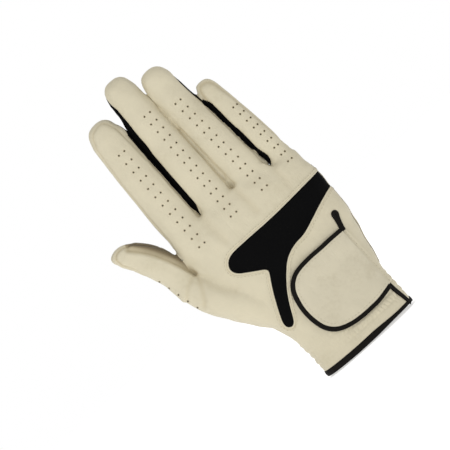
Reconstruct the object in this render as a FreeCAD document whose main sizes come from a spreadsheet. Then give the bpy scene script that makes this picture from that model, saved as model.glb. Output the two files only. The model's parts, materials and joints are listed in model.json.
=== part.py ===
"""Right-hand golf glove, filled as if worn, as a parametric FreeCAD document (millimetres).

Frame: origin at the centre of the wrist opening, +Z to the fingertips, -X to the thumb,
-Y to the back of the hand and +Y to the palm.  Every skin of the hand is a band between two
parallel lofts, so each layer (leather, patch, hook, tab) is named by how far it stands
proud of the leather's outer face.
"""
import FreeCAD, Part
import math
import os
import Sketcher

Vector = FreeCAD.Vector

# Driving dimensions.  Each becomes an aliased cell of the spreadsheet.
SIZES = {
    # leather and layers, measured outward from the leather's outer face
    "leather": 1.0,
    "patch": 0.7,
    "loop_top": 0.6,
    "hook_base": 0.9,
    "hook_top": 1.5,
    "tab_top": 2.5,
    "skin_gap": 0.05,
    "seam_gap": 0.3,
    # hand body: height, width, depth and edge radius of each oval section
    "hem_height": -1.6,
    "hem_width": 77.0,
    "hem_depth": 46.0,
    "hem_edge": 18.0,
    "cuff_height": 20.0,
    "cuff_width": 75.5,
    "cuff_depth": 41.0,
    "cuff_edge": 16.0,
    "heel_height": 48.0,
    "heel_width": 86.0,
    "heel_depth": 36.0,
    "heel_edge": 13.0,
    "palm_height": 85.0,
    "palm_width": 104.0,
    "palm_depth": 33.0,
    "palm_edge": 11.0,
    "knuckle_height": 112.0,
    "knuckle_width": 107.0,
    "knuckle_depth": 29.0,
    "knuckle_edge": 10.0,
    "crotch_height": 134.0,
    "crotch_depth": 24.0,
    "crotch_edge": 9.0,
    "little_crotch": 125.0,
    "thumb_side": -57.7,
    # digits: width at base, middle and tip, length from the base, sideways lean of the tip
    "finger_gap": 0.9,
    "little_gap": 1.9,
    "depth_share": 0.8,
    "index_base": 29.0,
    "index_middle": 26.4,
    "index_tip": 22.5,
    "index_length": 96.2,
    "index_lean": 2.6,
    "middle_base": 28.0,
    "middle_middle": 25.0,
    "middle_tip": 21.5,
    "middle_length": 110.7,
    "middle_lean": 0.6,
    "ring_base": 27.4,
    "ring_middle": 24.0,
    "ring_tip": 20.5,
    "ring_length": 99.7,
    "ring_lean": -5.0,
    "little_base": 17.6,
    "little_middle": 16.6,
    "little_tip": 14.5,
    "little_length": 79.2,
    "little_lean": -7.8,
    "thumb_base": 19.5,
    "thumb_middle": 21.0,
    "thumb_tip": 19.0,
    "thumb_length": 54.0,
    "thumb_lean": -4.5,
    "thumb_bow": 4.0,
    "thumb_crotch": 111.5,
    "thumb_tilt": 20.0,
    "fourchette_share": 0.55,
    # sewn details of the back of the hand
    "insert_top": 104.5,
    "insert_nose": 96.0,
    "insert_leg_end": 42.0,
    "slit_width": 1.6,
    "slit_head": 38.6,
    "slit_bend": 66.5,
    "slit_height": 77.5,
    "keyhole_radius": 2.6,
    "slit_trim": 2.2,
    # closure tab
    "tab_root": 34.6,
    "tab_reach": 52.7,
    "tab_foot": 16.5,
    "tab_height": 49.0,
    "tab_trim": 2.4,
    "root_strip": 2.6,
    "hook_margin": 9.0,
    "hook_length": 26.0,
    "loop_length": 34.0,
    "loop_margin": 6.5,
    # cuff
    "hem_top": 3.2,
    "hem_wrap": 0.6,
    "elastic": 0.8,
    "elastic_foot": 8.0,
    "elastic_width": 20.0,
    # construction reach, larger than the glove
    "reach": 400.0,
}

SECTIONS = ("hem", "cuff", "heel", "palm", "knuckle", "crotch")
FINGERS = ("index", "middle", "ring", "little")
DIGITS = FINGERS + ("thumb",)
# fingers have side strips where they face a neighbour: -1 the thumb side, +1 the little side
STRIP_SIDES = {"index": (1,), "middle": (-1, 1), "ring": (-1, 1), "little": (-1,)}
# a domed fingertip: latitudes of its rings, and its height as a share of the tip's half width
DOME_RINGS = (0, 20, 40, 58, 74, 86)
DOME_HEIGHT = 1.1


def size(name):
    """Value of one driving dimension."""
    return SIZES[name]


# ---------------------------------------------------------------- places worked out from the sizes
def finger_edges(name):
    """Thumb-side and little-side edges of a finger at its base."""
    left = size("thumb_side")
    for finger in FINGERS:
        if finger == "little":
            left += size("little_gap") - size("finger_gap")
        right = left + size(finger + "_base")
        if finger == name:
            return left, right
        left = right + size("finger_gap")
    raise KeyError(name)


def crotch_width():
    """Width of the hand where the four fingers leave it."""
    return finger_edges("little")[1] - size("thumb_side")


def section_width(section):
    """Width of one oval section of the hand."""
    if section == "crotch":
        return crotch_width()
    return size(section + "_width")


def section_centre(section):
    """Sideways centre of one oval section, from the wrist to the finger bases."""
    if section == "hem":
        return 0.0
    if section == "cuff":
        return 0.5
    if section == "heel":
        return 0.0
    if section == "palm":
        return size("thumb_side") + 4.0 + size("palm_width") / 2
    return size("thumb_side") + 0.4 + section_width(section) / 2


def slit_foot():
    """Sideways place of the opening slit, whose trim ends at the sewn root of the tab."""
    return size("tab_root") - size("slit_width") / 2 - size("slit_trim")


def finger_base(name):
    """Centre of a finger's base plane, and the tilt of its frame about Y."""
    if name == "thumb":
        tilt = math.radians(size("thumb_tilt"))
        half = size("thumb_base") / 2 + 0.6
        x = size("thumb_side") - half * math.cos(tilt)
        z = size("thumb_crotch") - half * math.sin(tilt)
        return Vector(x, 0, z), -size("thumb_tilt")
    left, right = finger_edges(name)
    height = size("little_crotch") if name == "little" else size("crotch_height")
    return Vector((left + right) / 2, 0, height), 0.0


# ---------------------------------------------------------------- document helpers
def make_sheet(doc):
    """Spreadsheet of the driving dimensions, one alias per cell."""
    sheet = doc.addObject("Spreadsheet::Sheet", "Sizes")
    for row, (name, value) in enumerate(SIZES.items(), start=1):
        sheet.set("A%d" % row, name)
        sheet.set("B%d" % row, repr(value))
        sheet.setAlias("B%d" % row, name)
    doc.recompute()
    return sheet


def boolean(doc, kind, name, base, tool):
    """Part::Cut or Part::Common of two document objects."""
    result = doc.addObject("Part::" + kind, name)
    result.Base = base
    result.Tool = tool
    return result


def fuse(doc, name, shapes):
    """One solid from several document objects."""
    result = doc.addObject("Part::MultiFuse", name)
    result.Shapes = shapes
    return result


def box(doc, name, low, spans):
    """Part::Box from three low corners and three lengths, each a formula over the sheet."""
    block = doc.addObject("Part::Box", name)
    for axis, formula in zip("xyz", low):
        block.setExpression("Placement.Base." + axis, str(formula))
    for side, formula in zip(("Length", "Width", "Height"), spans):
        block.setExpression(side, str(formula))
    return block


def half_space(doc, name, side, seam="0"):
    """Everything on the palm side (+1) or the back side (-1) of the side seams."""
    low_y = seam if side > 0 else seam + " - Sizes.reach"
    return box(doc, name, ("-Sizes.reach", low_y, "-Sizes.reach"),
               ("2 * Sizes.reach", "Sizes.reach", "2 * Sizes.reach"))


def height_band(doc, name, foot, height):
    """A slab between two heights that is wider than the glove."""
    return box(doc, name, ("-Sizes.reach", "-Sizes.reach", foot),
               ("2 * Sizes.reach", "2 * Sizes.reach", height))


# ---------------------------------------------------------------- lofts of the filled hand
def oval_formulas(section, grow):
    """Formulas for an oval's edge radius, end-arc centre and crown radius, grown outward."""
    half_width = "Sizes.%s_width / 2" % section
    if section == "crotch":
        bases = " + ".join("Sizes.%s_base" % finger for finger in FINGERS)
        half_width = "(%s + 2 * Sizes.finger_gap + Sizes.little_gap) / 2" % bases
    edge = "Sizes.%s_edge" % section
    reach_out = "(%s - %s)" % (half_width, edge)
    half_depth = "(Sizes.%s_depth / 2)" % section
    crown = "(%s ^ 2 + %s ^ 2 - %s ^ 2) / (2 * (%s - %s))" % (
        reach_out, half_depth, edge, half_depth, edge)
    return edge + " + " + grow, reach_out, crown + " + " + grow


def oval_section(doc, name, section, grow):
    """Sketch of one oval section: two end arcs and two flatter crown arcs, all tangent."""
    edge = size(section + "_edge")
    half_depth = size(section + "_depth") / 2
    reach_out = section_width(section) / 2 - edge
    crown = (reach_out ** 2 + half_depth ** 2 - edge ** 2) / (2 * (half_depth - edge))
    drop = crown - half_depth
    swing = math.atan2(reach_out, drop)
    quarter = math.pi / 2
    axis = Vector(0, 0, 1)
    arcs = (
        (Vector(reach_out, 0, 0), edge, swing - quarter, quarter - swing),
        (Vector(0, -drop, 0), crown, quarter - swing, quarter + swing),
        (Vector(-reach_out, 0, 0), edge, quarter + swing, 3 * quarter - swing),
        (Vector(0, drop, 0), crown, 3 * quarter - swing, 3 * quarter + swing),
    )
    sketch = doc.addObject("Sketcher::SketchObject", name)
    for centre, radius, start, end in arcs:
        sketch.addGeometry(Part.ArcOfCircle(Part.Circle(centre, axis, radius), start, end))
    right, upper, left, lower = range(4)
    start_point, end_point, centre_point = 1, 2, 3
    origin, x_axis, y_axis = -1, -1, -2
    rules = (
        ("PointOnObject", right, centre_point, x_axis),
        ("PointOnObject", upper, centre_point, y_axis),
        ("PointOnObject", lower, centre_point, y_axis),
        ("Tangent", right, end_point, upper, start_point),
        ("Tangent", lower, end_point, right, start_point),
        ("Horizontal", upper, start_point, upper, end_point),
        ("Horizontal", lower, start_point, lower, end_point),
        ("Coincident", upper, end_point, left, start_point),
        ("Coincident", left, end_point, lower, start_point),
        ("Equal", upper, lower),
        ("Equal", right, left),
    )
    for rule in rules:
        sketch.addConstraint(Sketcher.Constraint(*rule))
    formulas = oval_formulas(section, grow)
    sizes = (
        ("edge", ("Radius", right, edge)),
        ("reach_out", ("DistanceX", origin, 1, right, centre_point, reach_out)),
        ("crown", ("Radius", upper, crown)),
    )
    for formula, (label, rule) in zip(formulas, sizes):
        number = sketch.addConstraint(Sketcher.Constraint(*rule))
        sketch.renameConstraint(number, label)
        sketch.setExpression("Constraints." + label, formula)
    sketch.Placement.Base = Vector(section_centre(section), 0, size(section + "_height"))
    sketch.setExpression("Placement.Base.z", "Sizes.%s_height" % section)
    return sketch


def loft(doc, name, sections, ruled=False):
    """Solid through a list of closed sections, smooth unless it is ruled."""
    skin = doc.addObject("Part::Loft", name)
    skin.Sections = sections
    skin.Solid = True
    skin.Ruled = ruled
    return skin


def hand_loft(doc, name, grow):
    """Filled hand from the hem to the finger bases, grown outward by a formula."""
    return loft(doc, name, [
        oval_section(doc, "%s_%s" % (name, section), section, grow) for section in SECTIONS])


def ellipse(doc, name, digit, across, along, half_width, half_depth):
    """Ellipse across a digit: offsets and radii are formulas in the digit's own frame."""
    base, turn = finger_base(digit)
    ring = doc.addObject("Part::Ellipse", name)
    tilt = "Sizes.thumb_tilt" if digit == "thumb" else "0"
    ring.Placement = FreeCAD.Placement(base, FreeCAD.Rotation(Vector(0, 1, 0), turn))
    ring.setExpression("Placement.Base.x", "%r + (%s) * cos(%s * 1 deg) - (%s) * sin(%s * 1 deg)" % (
        base.x, across, tilt, along, tilt))
    ring.setExpression("Placement.Base.z", "%r + (%s) * sin(%s * 1 deg) + (%s) * cos(%s * 1 deg)" % (
        base.z, across, tilt, along, tilt))
    ring.setExpression("MajorRadius", half_width)
    ring.setExpression("MinorRadius", half_depth)
    return ring


def sway(lean, bow, share):
    """Formula for a digit's sideways offset at a share of its length."""
    return "%s * %.4f + %s * %.4f" % (lean, share, bow, 4 * share * (1 - share))


def digit_loft(doc, digit, layer, shrink):
    """Tube of one digit with a domed tip, shrunk inward by a formula."""
    name = "%s_%s" % (digit, layer)
    length = "(Sizes.%s_length - %s)" % (digit, shrink)
    tip = "(Sizes.%s_tip / 2 - %s)" % (digit, shrink)
    bow = "Sizes.thumb_bow" if digit == "thumb" else "0"
    lean = "Sizes.%s_lean" % digit
    root = "-1 * Sizes.seam_gap" if layer == "inside" else "Sizes.seam_gap"
    base = "(Sizes.%s_base / 2 - %s)" % (digit, shrink)
    middle = "(Sizes.%s_middle / 2 - %s)" % (digit, shrink)
    stations = [
        (root, "0", base),
        ("%s * 0.22" % length, sway(lean, bow, 0.22), "(%s + %s) / 2" % (base, middle)),
        ("%s * 0.45" % length, sway(lean, bow, 0.45), middle),
        ("%s * 0.64" % length, sway(lean, bow, 0.64), "(%s + %s) / 2" % (middle, tip)),
    ]
    for latitude in DOME_RINGS:
        rise = math.sin(math.radians(latitude))
        stations.append((
            "%s - %s * %.4f" % (length, tip, DOME_HEIGHT * (1 - rise)),
            sway(lean, bow, 0.82 + 0.18 * rise),
            "%s * %.4f" % (tip, math.cos(math.radians(latitude)))))
    rings = []
    for number, (along, across, half_width) in enumerate(stations):
        half_depth = "%s * Sizes.depth_share" % half_width
        if digit in ("little", "thumb"):
            half_depth = "%s * (1 + Sizes.depth_share) / 2" % half_width
        rings.append(ellipse(
            doc, "%s_%d" % (name, number), digit, across, along, half_width, half_depth))
    return loft(doc, name, rings, ruled=True)


def digit_depth(digit):
    """Depth of a digit's tube at its base."""
    share = size("depth_share")
    if digit in ("little", "thumb"):
        share = (1 + share) / 2
    return size(digit + "_base") * share


def stub_loft(doc, name, grow, end):
    """Root of the thumb, from inside the palm out to the thumb's base plane."""
    base = "Sizes.thumb_base"
    stations = (
        (end, "0", base + " / 2", digit_depth("thumb") / 2),
        ("-20", "3", base + " / 2 + 3.5", 12.5),
        ("-42", "9", base + " / 2 + 4.5", 13.5),
        ("-64", "14", base + " / 2 + 3", 12.5),
    )
    rings = []
    for number, (along, across, half_width, half_depth) in enumerate(stations):
        rings.append(ellipse(
            doc, "%s_%d" % (name, number), "thumb", across, along,
            "%s + %s" % (half_width, grow), "%r + %s" % (half_depth, grow)))
    return loft(doc, name, rings)


def layer(doc, name, inner_loft, outer_loft):
    """Band of cloth or leather between two parallel lofts."""
    return boolean(doc, "Cut", name, outer_loft, inner_loft)


# ---------------------------------------------------------------- sewn outlines, seen from the back
def outline_prism(doc, name, runs, side):
    """Prism through the back (-1) or the palm (+1) from smooth runs that meet at corners."""
    edges = []
    for run in runs:
        points = [Vector(x, 0, z) for x, z in run]
        if len(points) == 2:
            edges.append(Part.makeLine(points[0], points[1]))
        else:
            curve = Part.BSplineCurve()
            curve.interpolate(Points=points)
            edges.append(curve.toShape())
    flat = doc.addObject("Part::Feature", name + "_outline")
    flat.Shape = Part.Face(Part.Wire(edges))
    prism = doc.addObject("Part::Extrusion", name)
    prism.Base = flat
    prism.DirMode = "Custom"
    prism.Dir = Vector(0, side, 0)
    prism.Solid = True
    prism.setExpression("LengthFwd", "Sizes.reach / 4")
    return prism


def insert_runs():
    """Black stretch insert: a bar over the knuckles with a leg down the thumb side."""
    top = size("insert_top")
    nose = size("insert_nose")
    foot = size("insert_leg_end")
    far = finger_edges("little")[1] + 25
    fork = (-19.0, nose - 16.5)
    bar_foot = nose + 1.5
    upper = [(far, top + 2), (10, top), (-28, top), (-36, top - 3), (-39, nose),
             (-36.5, nose - 5.5), fork]
    leg = [fork, (-25, nose - 26), (-31, foot + 17), (-36, foot + 5), (-35.5, foot),
           (-31.5, foot - 2), (-28, foot + 1.5), (-20, nose - 38.5), (-12, nose - 28),
           (-3, nose - 20), (6, nose - 16.2), (15, nose - 15), (41, nose - 6), (far, bar_foot)]
    return [upper, leg, [(far, bar_foot), (far, top + 2)]]


def thenar_runs():
    """Thumb panel of the palm, from the thumb crotch round the ball of the thumb."""
    left = size("thumb_side")
    crotch = size("thumb_crotch")
    seam = [(left, crotch + 3), (-34, crotch - 0.5), (-14, crotch - 15), (-3, crotch - 30),
            (2, crotch - 46), (1, crotch - 62), (-7, crotch - 74), (-21, crotch - 80.5),
            (left, crotch - 84)]
    out = left - 60
    return [seam, [(left, crotch - 84), (out, crotch - 84)],
            [(out, crotch - 84), (out, crotch + 60)], [(out, crotch + 60), (left, crotch + 3)]]


def gusset_runs():
    """Folded strip between the thumb and the palm."""
    left = size("thumb_side") + 3
    crotch = size("thumb_crotch")
    low = (-27.0, crotch - 23)
    top = (left, crotch + 1)
    return [[top, (-45, crotch - 6), (-34, crotch - 16), low],
            [low, (-27.5, crotch - 12), (-34, crotch - 3), (-45, crotch + 1), top]]


def heel_runs():
    """Wear patch over the heel of the palm, with an S-shaped inner edge."""
    far = section_centre("palm") + size("palm_width") / 2 + 20
    seam = [(24, 107), (16.5, 103.5), (12.5, 96), (12, 88), (14.5, 78), (20, 64.5), (25.5, 52),
            (31, 41.5), (38, 34)]
    return [seam, [(38, 34), (far, 34)], [(far, 34), (far, 107)], [(far, 107), (24, 107)]]


def slit_runs(spare):
    """Opening slit of the cuff with its keyhole end, widened all round by spare."""
    half = size("slit_width") / 2 + spare
    foot = slit_foot()
    head = size("slit_head")
    bend = size("slit_bend")
    centre = size("slit_height")
    radius = size("keyhole_radius") + spare
    low = size("hem_height") * 4
    crown = [(head - radius, centre), (head - radius * 0.7, centre + radius * 0.7),
             (head, centre + radius), (head + radius * 0.7, centre + radius * 0.7),
             (head + radius, centre)]
    return [
        [(foot + half, low), (foot - half, low)],
        [(foot - half, low), (foot - half, bend)],
        [(foot - half, bend), crown[0]],
        crown,
        [crown[-1], (foot + half, bend)],
        [(foot + half, bend), (foot + half, low)],
    ]


def tab_runs(inset):
    """Closure tab: straight edges from the sewn root and a rounded nose, drawn in by inset."""
    root = size("tab_root")
    nose = root - size("tab_reach") + inset
    foot = size("tab_foot") + inset
    top = size("tab_foot") + size("tab_height") - inset
    middle = (foot + top) / 2
    round_in = 14.0 - inset
    return [
        [(root, foot), (root, top)],
        [(root, top), (nose + round_in, top)],
        [(nose + round_in, top), (nose + 4.2, top - 5), (nose + 0.7, top - 15), (nose, middle),
         (nose + 1.6, foot + 12), (nose + 5.2, foot + 4.6), (nose + round_in, foot)],
        [(nose + round_in, foot), (root, foot)],
    ]


# ---------------------------------------------------------------- sub-parts of the hand
def hand_layers(doc):
    """Lofts shared by every skin of the hand, from the innermost to the outermost."""
    levels = {
        "elastic_in": "-Sizes.leather - Sizes.skin_gap - Sizes.elastic",
        "elastic_out": "-Sizes.leather - Sizes.skin_gap",
        "inside": "-Sizes.leather",
        "outside": "0",
        "patch_in": "Sizes.skin_gap",
        "patch_out": "Sizes.patch",
        "loop_out": "Sizes.loop_top",
        "hook_in": "Sizes.hook_base",
        "tab_in": "Sizes.hook_top",
        "tab_out": "Sizes.tab_top",
        "trim_out": "Sizes.tab_top + Sizes.leather * 0.4",
        "hem_out": "Sizes.hem_wrap",
    }
    return {name: hand_loft(doc, "level_" + name, grow) for name, grow in levels.items()}


def leather_shell(doc, levels):
    """Leather of the whole hand with the thumb's root, open at the wrist and at the digits."""
    outer = fuse(doc, "hand_outside", [
        levels["outside"], stub_loft(doc, "stub_outside", "0", "0")])
    inner = fuse(doc, "hand_inside", [
        levels["inside"], stub_loft(doc, "stub_inside", "-Sizes.leather", "0.6")])
    shell = boolean(doc, "Cut", "hand_shell", outer, inner)
    above_hem = height_band(doc, "above_hem", "0", "Sizes.reach")
    shell = boolean(doc, "Common", "shell_above_hem", shell, above_hem)
    step = box(doc, "little_step",
               ("%r - Sizes.little_gap / 2" % finger_edges("little")[0], "-Sizes.reach",
                "Sizes.little_crotch"),
               ("Sizes.reach", "2 * Sizes.reach", "Sizes.reach"))
    return boolean(doc, "Cut", "shell_stepped", shell, step)


def part_of(doc, label, kind, base, tool):
    """Final boolean of a sub-part, which carries the sub-part's name."""
    piece = boolean(doc, kind, label, base, tool)
    piece.Label = label
    return piece


def back_pieces(doc, shell, levels, slit):
    """Back leather, the stretch insert let into it, and the trimmed opening slit."""
    back = boolean(doc, "Common", "back_half", shell, half_space(doc, "back_side", -1))
    insert = outline_prism(doc, "insert_window", insert_runs(), -1)
    open_back = boolean(doc, "Cut", "back_windowed", back, insert)
    back_panel = part_of(doc, "back_panel", "Cut", open_back, slit)
    knuckle = part_of(doc, "knuckle_insert", "Common", back, insert)
    trim_band = layer(doc, "slit_trim_band", levels["patch_in"], levels["patch_out"])
    wide_slit = outline_prism(doc, "slit_wide", slit_runs(size("slit_trim")), -1)
    trim = boolean(doc, "Common", "slit_trim_whole", trim_band, wide_slit)
    above = height_band(doc, "above_hem_trim", "Sizes.hem_top + Sizes.seam_gap", "Sizes.reach")
    trim = boolean(doc, "Common", "slit_trim_above", trim, above)
    slit_binding = part_of(doc, "slit_binding", "Cut", trim, slit)
    return [back_panel, knuckle, slit_binding]


def palm_pieces(doc, shell, levels):
    """Palm leather, the thumb panel, the folded gusset and the heel patch."""
    palm = boolean(doc, "Common", "palm_half", shell, half_space(doc, "palm_side", 1))
    thenar = outline_prism(doc, "thenar_outline", thenar_runs(), 1)
    gusset = outline_prism(doc, "gusset_outline", gusset_runs(), 1)
    rest = boolean(doc, "Cut", "palm_without_gusset", palm, gusset)
    palm_panel = part_of(doc, "palm_panel", "Cut", rest, thenar)
    thenar_panel = part_of(doc, "thenar_panel", "Common", rest, thenar)
    thumb_gusset = part_of(doc, "thumb_gusset", "Common", palm, gusset)
    patch_band = layer(doc, "patch_band", levels["patch_in"], levels["patch_out"])
    patch_half = boolean(
        doc, "Common", "patch_half", patch_band, half_space(doc, "patch_side", 1))
    heel = outline_prism(doc, "heel_outline", heel_runs(), 1)
    heel_patch = part_of(doc, "heel_patch", "Common", patch_half, heel)
    return [palm_panel, thenar_panel, thumb_gusset, heel_patch]


def cuff_pieces(doc, levels, slit):
    """Binding round the hem and the two elastic bands stitched inside the cuff."""
    ring = layer(doc, "hem_ring", levels["elastic_in"], levels["hem_out"])
    hem_band = height_band(doc, "hem_band", "Sizes.hem_height", "Sizes.hem_top - Sizes.hem_height")
    ring = boolean(doc, "Common", "hem_ring_low", ring, hem_band)
    fold = layer(doc, "hem_fold", levels["inside"], levels["outside"])
    fold_band = height_band(doc, "fold_band", "0", "Sizes.reach")
    fold = boolean(doc, "Common", "hem_fold_high", fold, fold_band)
    ring = boolean(doc, "Cut", "hem_wrapped", ring, fold)
    hem_binding = part_of(doc, "hem_binding", "Cut", ring, slit)
    band = layer(doc, "elastic_ring", levels["elastic_in"], levels["elastic_out"])
    height = height_band(doc, "elastic_height", "Sizes.elastic_foot", "Sizes.elastic_width")
    band = boolean(doc, "Common", "elastic_whole", band, height)
    palm_elastic = part_of(
        doc, "wrist_elastic_palm", "Common", band, half_space(doc, "elastic_palm_side", 1))
    short = box(doc, "elastic_back_span", ("-Sizes.reach", "-Sizes.reach", "-Sizes.reach"),
                ("Sizes.reach + %r - Sizes.loop_margin" % slit_foot(), "Sizes.reach",
                 "2 * Sizes.reach"))
    back_elastic = part_of(doc, "wrist_elastic_back", "Common", band, short)
    return [hem_binding, palm_elastic, back_elastic]


def closure_pieces(doc, levels):
    """Loop patch and sewn root strip on the hand, and the tab with its trim and hook pad."""
    nose = "(Sizes.tab_root - Sizes.tab_reach)"
    inner_foot = "Sizes.tab_foot + Sizes.loop_margin"
    inner_height = "Sizes.tab_height - 2 * Sizes.loop_margin"
    loop_band = layer(doc, "loop_band", levels["patch_in"], levels["loop_out"])
    loop_box = box(doc, "loop_box", (nose + " + Sizes.hook_margin", "-Sizes.reach", inner_foot),
                   ("Sizes.loop_length", "Sizes.reach", inner_height))
    loop_patch = part_of(doc, "loop_patch", "Common", loop_band, loop_box)
    strip_band = layer(doc, "strip_band", levels["patch_in"], levels["patch_out"])
    strip_box = box(doc, "strip_box",
                    ("Sizes.tab_root + Sizes.seam_gap", "-Sizes.reach", "Sizes.tab_foot"),
                    ("Sizes.root_strip", "Sizes.reach", "Sizes.tab_height"))
    tab_root = part_of(doc, "tab_root_strip", "Common", strip_band, strip_box)
    tab_core = outline_prism(doc, "tab_core", tab_runs(size("tab_trim")), -1)
    tab_whole = outline_prism(doc, "tab_whole", tab_runs(0.0), -1)
    tab_band = layer(doc, "tab_band", levels["tab_in"], levels["tab_out"])
    tab_leather = part_of(doc, "tab_leather", "Common", tab_band, tab_core)
    trim_band = layer(doc, "tab_trim_band", levels["hook_in"], levels["trim_out"])
    trim = boolean(doc, "Common", "tab_trim_whole", trim_band, tab_whole)
    tab_binding = part_of(doc, "tab_binding", "Cut", trim, tab_core)
    hook_band = layer(doc, "hook_band", levels["hook_in"], levels["tab_in"])
    hook_box = box(doc, "hook_box", (nose + " + Sizes.hook_margin", "-Sizes.reach", inner_foot),
                   ("Sizes.hook_length", "Sizes.reach", inner_height))
    hook_pad = part_of(doc, "hook_pad", "Common", hook_band, hook_box)
    return [loop_patch, tab_root, tab_leather, tab_binding, hook_pad]


# ---------------------------------------------------------------- sub-parts of the digits
def side_strip(doc, digit, side):
    """Box round one side wall of a finger (-1 or +1) or both (0), up to the tip's dome."""
    middle = "%r + Sizes.%s_lean / 2" % (finger_base(digit)[0].x, digit)
    low_x = middle if side > 0 else "%s - Sizes.%s_base" % (middle, digit)
    width = "2 * Sizes.%s_base" % digit if side == 0 else "Sizes.%s_base" % digit
    height = "Sizes.%s_length - Sizes.%s_tip / 2" % (digit, digit)
    base = "Sizes.little_crotch" if digit == "little" else "Sizes.crotch_height"
    strip = "%r * Sizes.fourchette_share" % digit_depth(digit)
    return box(doc, "%s_side_%d" % (digit, side), (low_x, "-%s / 2" % strip, base),
               (width, strip, height))


def digit_pieces(doc, digit):
    """Leather of one digit and its side strips (fourchettes)."""
    shell = layer(doc, digit + "_shell_whole", digit_loft(doc, digit, "inside", "Sizes.leather"),
                  digit_loft(doc, digit, "outside", "0"))
    sides = STRIP_SIDES.get(digit, ())
    pieces = []
    for side in sides:
        ending = ""
        if len(sides) == 2:
            ending = "_thumb_side" if side < 0 else "_little_side"
        strip = side_strip(doc, digit, side)
        pieces.append(part_of(doc, digit + "_fourchette" + ending, "Common", shell, strip))
    if len(sides) == 1:
        label = digit + "_finger_shell"
        return pieces + [part_of(doc, label, "Cut", shell, side_strip(doc, digit, sides[0]))]
    leather = shell
    if sides:
        leather = boolean(doc, "Cut", digit + "_leather", shell, side_strip(doc, digit, 0))
    for side, half in ((-1, "back"), (1, "palm")):
        cutter = half_space(doc, "%s_%s_side" % (digit, half), side, "Sizes.skin_gap")
        pieces.append(part_of(doc, "%s_%s" % (digit, half), "Common", leather, cutter))
    return pieces


# ---------------------------------------------------------------- checks and output
def check(doc, pieces):
    """Stop on any failed object or bad solid."""
    for item in doc.Objects:
        if "Invalid" in item.State or "Error" in item.State:
            raise RuntimeError("%s failed: %s" % (item.Label, item.State))
    for piece in pieces:
        if piece.Shape.isNull() or not piece.Shape.isValid():
            raise RuntimeError(piece.Label + " has no valid shape")
        if piece.Shape.Volume <= 0 or not piece.Shape.Solids:
            raise RuntimeError(piece.Label + " is empty")


def export(pieces):
    """One STEP file for each sub-part."""
    os.makedirs("parts", exist_ok=True)
    for piece in pieces:
        piece.Shape.exportStep("parts/%s.step" % piece.Label)


def main():
    """Build the glove and write its sub-parts."""
    doc = FreeCAD.newDocument("golf_glove")
    make_sheet(doc)
    levels = hand_layers(doc)
    shell = leather_shell(doc, levels)
    slit = outline_prism(doc, "slit_prism", slit_runs(0.0), -1)
    pieces = back_pieces(doc, shell, levels, slit)
    pieces += palm_pieces(doc, shell, levels)
    pieces += cuff_pieces(doc, levels, slit)
    pieces += closure_pieces(doc, levels)
    for digit in DIGITS:
        pieces += digit_pieces(doc, digit)
    doc.recompute()
    check(doc, pieces)
    export(pieces)
    for piece in pieces:
        bounds = piece.Shape.optimalBoundingBox(False)
        print("%-30s solids %d volume %8.1f  x %.1f..%.1f y %.1f..%.1f z %.1f..%.1f" % (
            piece.Label, len(piece.Shape.Solids), piece.Shape.Volume, bounds.XMin, bounds.XMax,
            bounds.YMin, bounds.YMax, bounds.ZMin, bounds.ZMax))


main()
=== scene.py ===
"""The looks of a right-hand golf glove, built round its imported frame.

Lengths are in metres. +Z runs from the cuff to the fingertips, +X from the thumb to the little finger,
and the back of the hand faces -Y. One skin of leather is formed over the whole hand, its seams are cut
into it, and each panel is then lifted off it as a plate of real thickness.
"""
import json
import logging
import math
from dataclasses import dataclass, field
from enum import Enum
from typing import Callable, Sequence

import bpy
import numpy as np
from mathutils import Matrix, Vector
from mathutils.bvhtree import BVHTree


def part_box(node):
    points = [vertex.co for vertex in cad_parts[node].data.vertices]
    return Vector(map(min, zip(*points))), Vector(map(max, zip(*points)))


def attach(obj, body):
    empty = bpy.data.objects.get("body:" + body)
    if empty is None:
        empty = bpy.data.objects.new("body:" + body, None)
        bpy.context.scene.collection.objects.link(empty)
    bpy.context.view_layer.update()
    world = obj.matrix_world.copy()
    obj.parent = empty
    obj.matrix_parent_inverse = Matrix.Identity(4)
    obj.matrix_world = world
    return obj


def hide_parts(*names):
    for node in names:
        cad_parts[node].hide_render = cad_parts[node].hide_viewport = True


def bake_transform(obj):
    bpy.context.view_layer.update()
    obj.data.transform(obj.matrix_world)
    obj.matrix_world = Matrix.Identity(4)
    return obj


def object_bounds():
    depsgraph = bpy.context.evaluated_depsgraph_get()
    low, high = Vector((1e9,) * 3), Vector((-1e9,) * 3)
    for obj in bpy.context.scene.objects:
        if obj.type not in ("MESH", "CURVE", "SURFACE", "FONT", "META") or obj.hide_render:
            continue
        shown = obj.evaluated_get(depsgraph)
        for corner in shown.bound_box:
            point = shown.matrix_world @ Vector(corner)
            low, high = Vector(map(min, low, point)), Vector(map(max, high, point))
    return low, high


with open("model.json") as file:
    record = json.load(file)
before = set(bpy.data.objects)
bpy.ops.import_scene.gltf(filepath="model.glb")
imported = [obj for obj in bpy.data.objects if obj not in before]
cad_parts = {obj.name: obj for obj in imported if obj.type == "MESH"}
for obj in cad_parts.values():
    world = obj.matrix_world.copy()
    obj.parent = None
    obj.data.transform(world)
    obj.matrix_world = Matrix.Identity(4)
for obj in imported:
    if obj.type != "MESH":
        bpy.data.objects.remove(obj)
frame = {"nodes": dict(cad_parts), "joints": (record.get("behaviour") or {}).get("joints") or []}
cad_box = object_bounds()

Array = np.ndarray
Points = Sequence[tuple[float, float]]
Colour = tuple[float, float, float]
Socket = bpy.types.NodeSocket
MM = 0.001
SNAP = 0.02 * MM  # a point this close to a cut counts as lying on it
log = logging.getLogger("golf_glove")


class Face(Enum):
    """The two broad faces of the glove, by the sign of Y."""

    BACK = -1
    PALM = 1


class Flank(Enum):
    """The two sides of a finger, by the sign of X."""

    THUMB_SIDE = -1
    LITTLE_SIDE = 1


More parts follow.
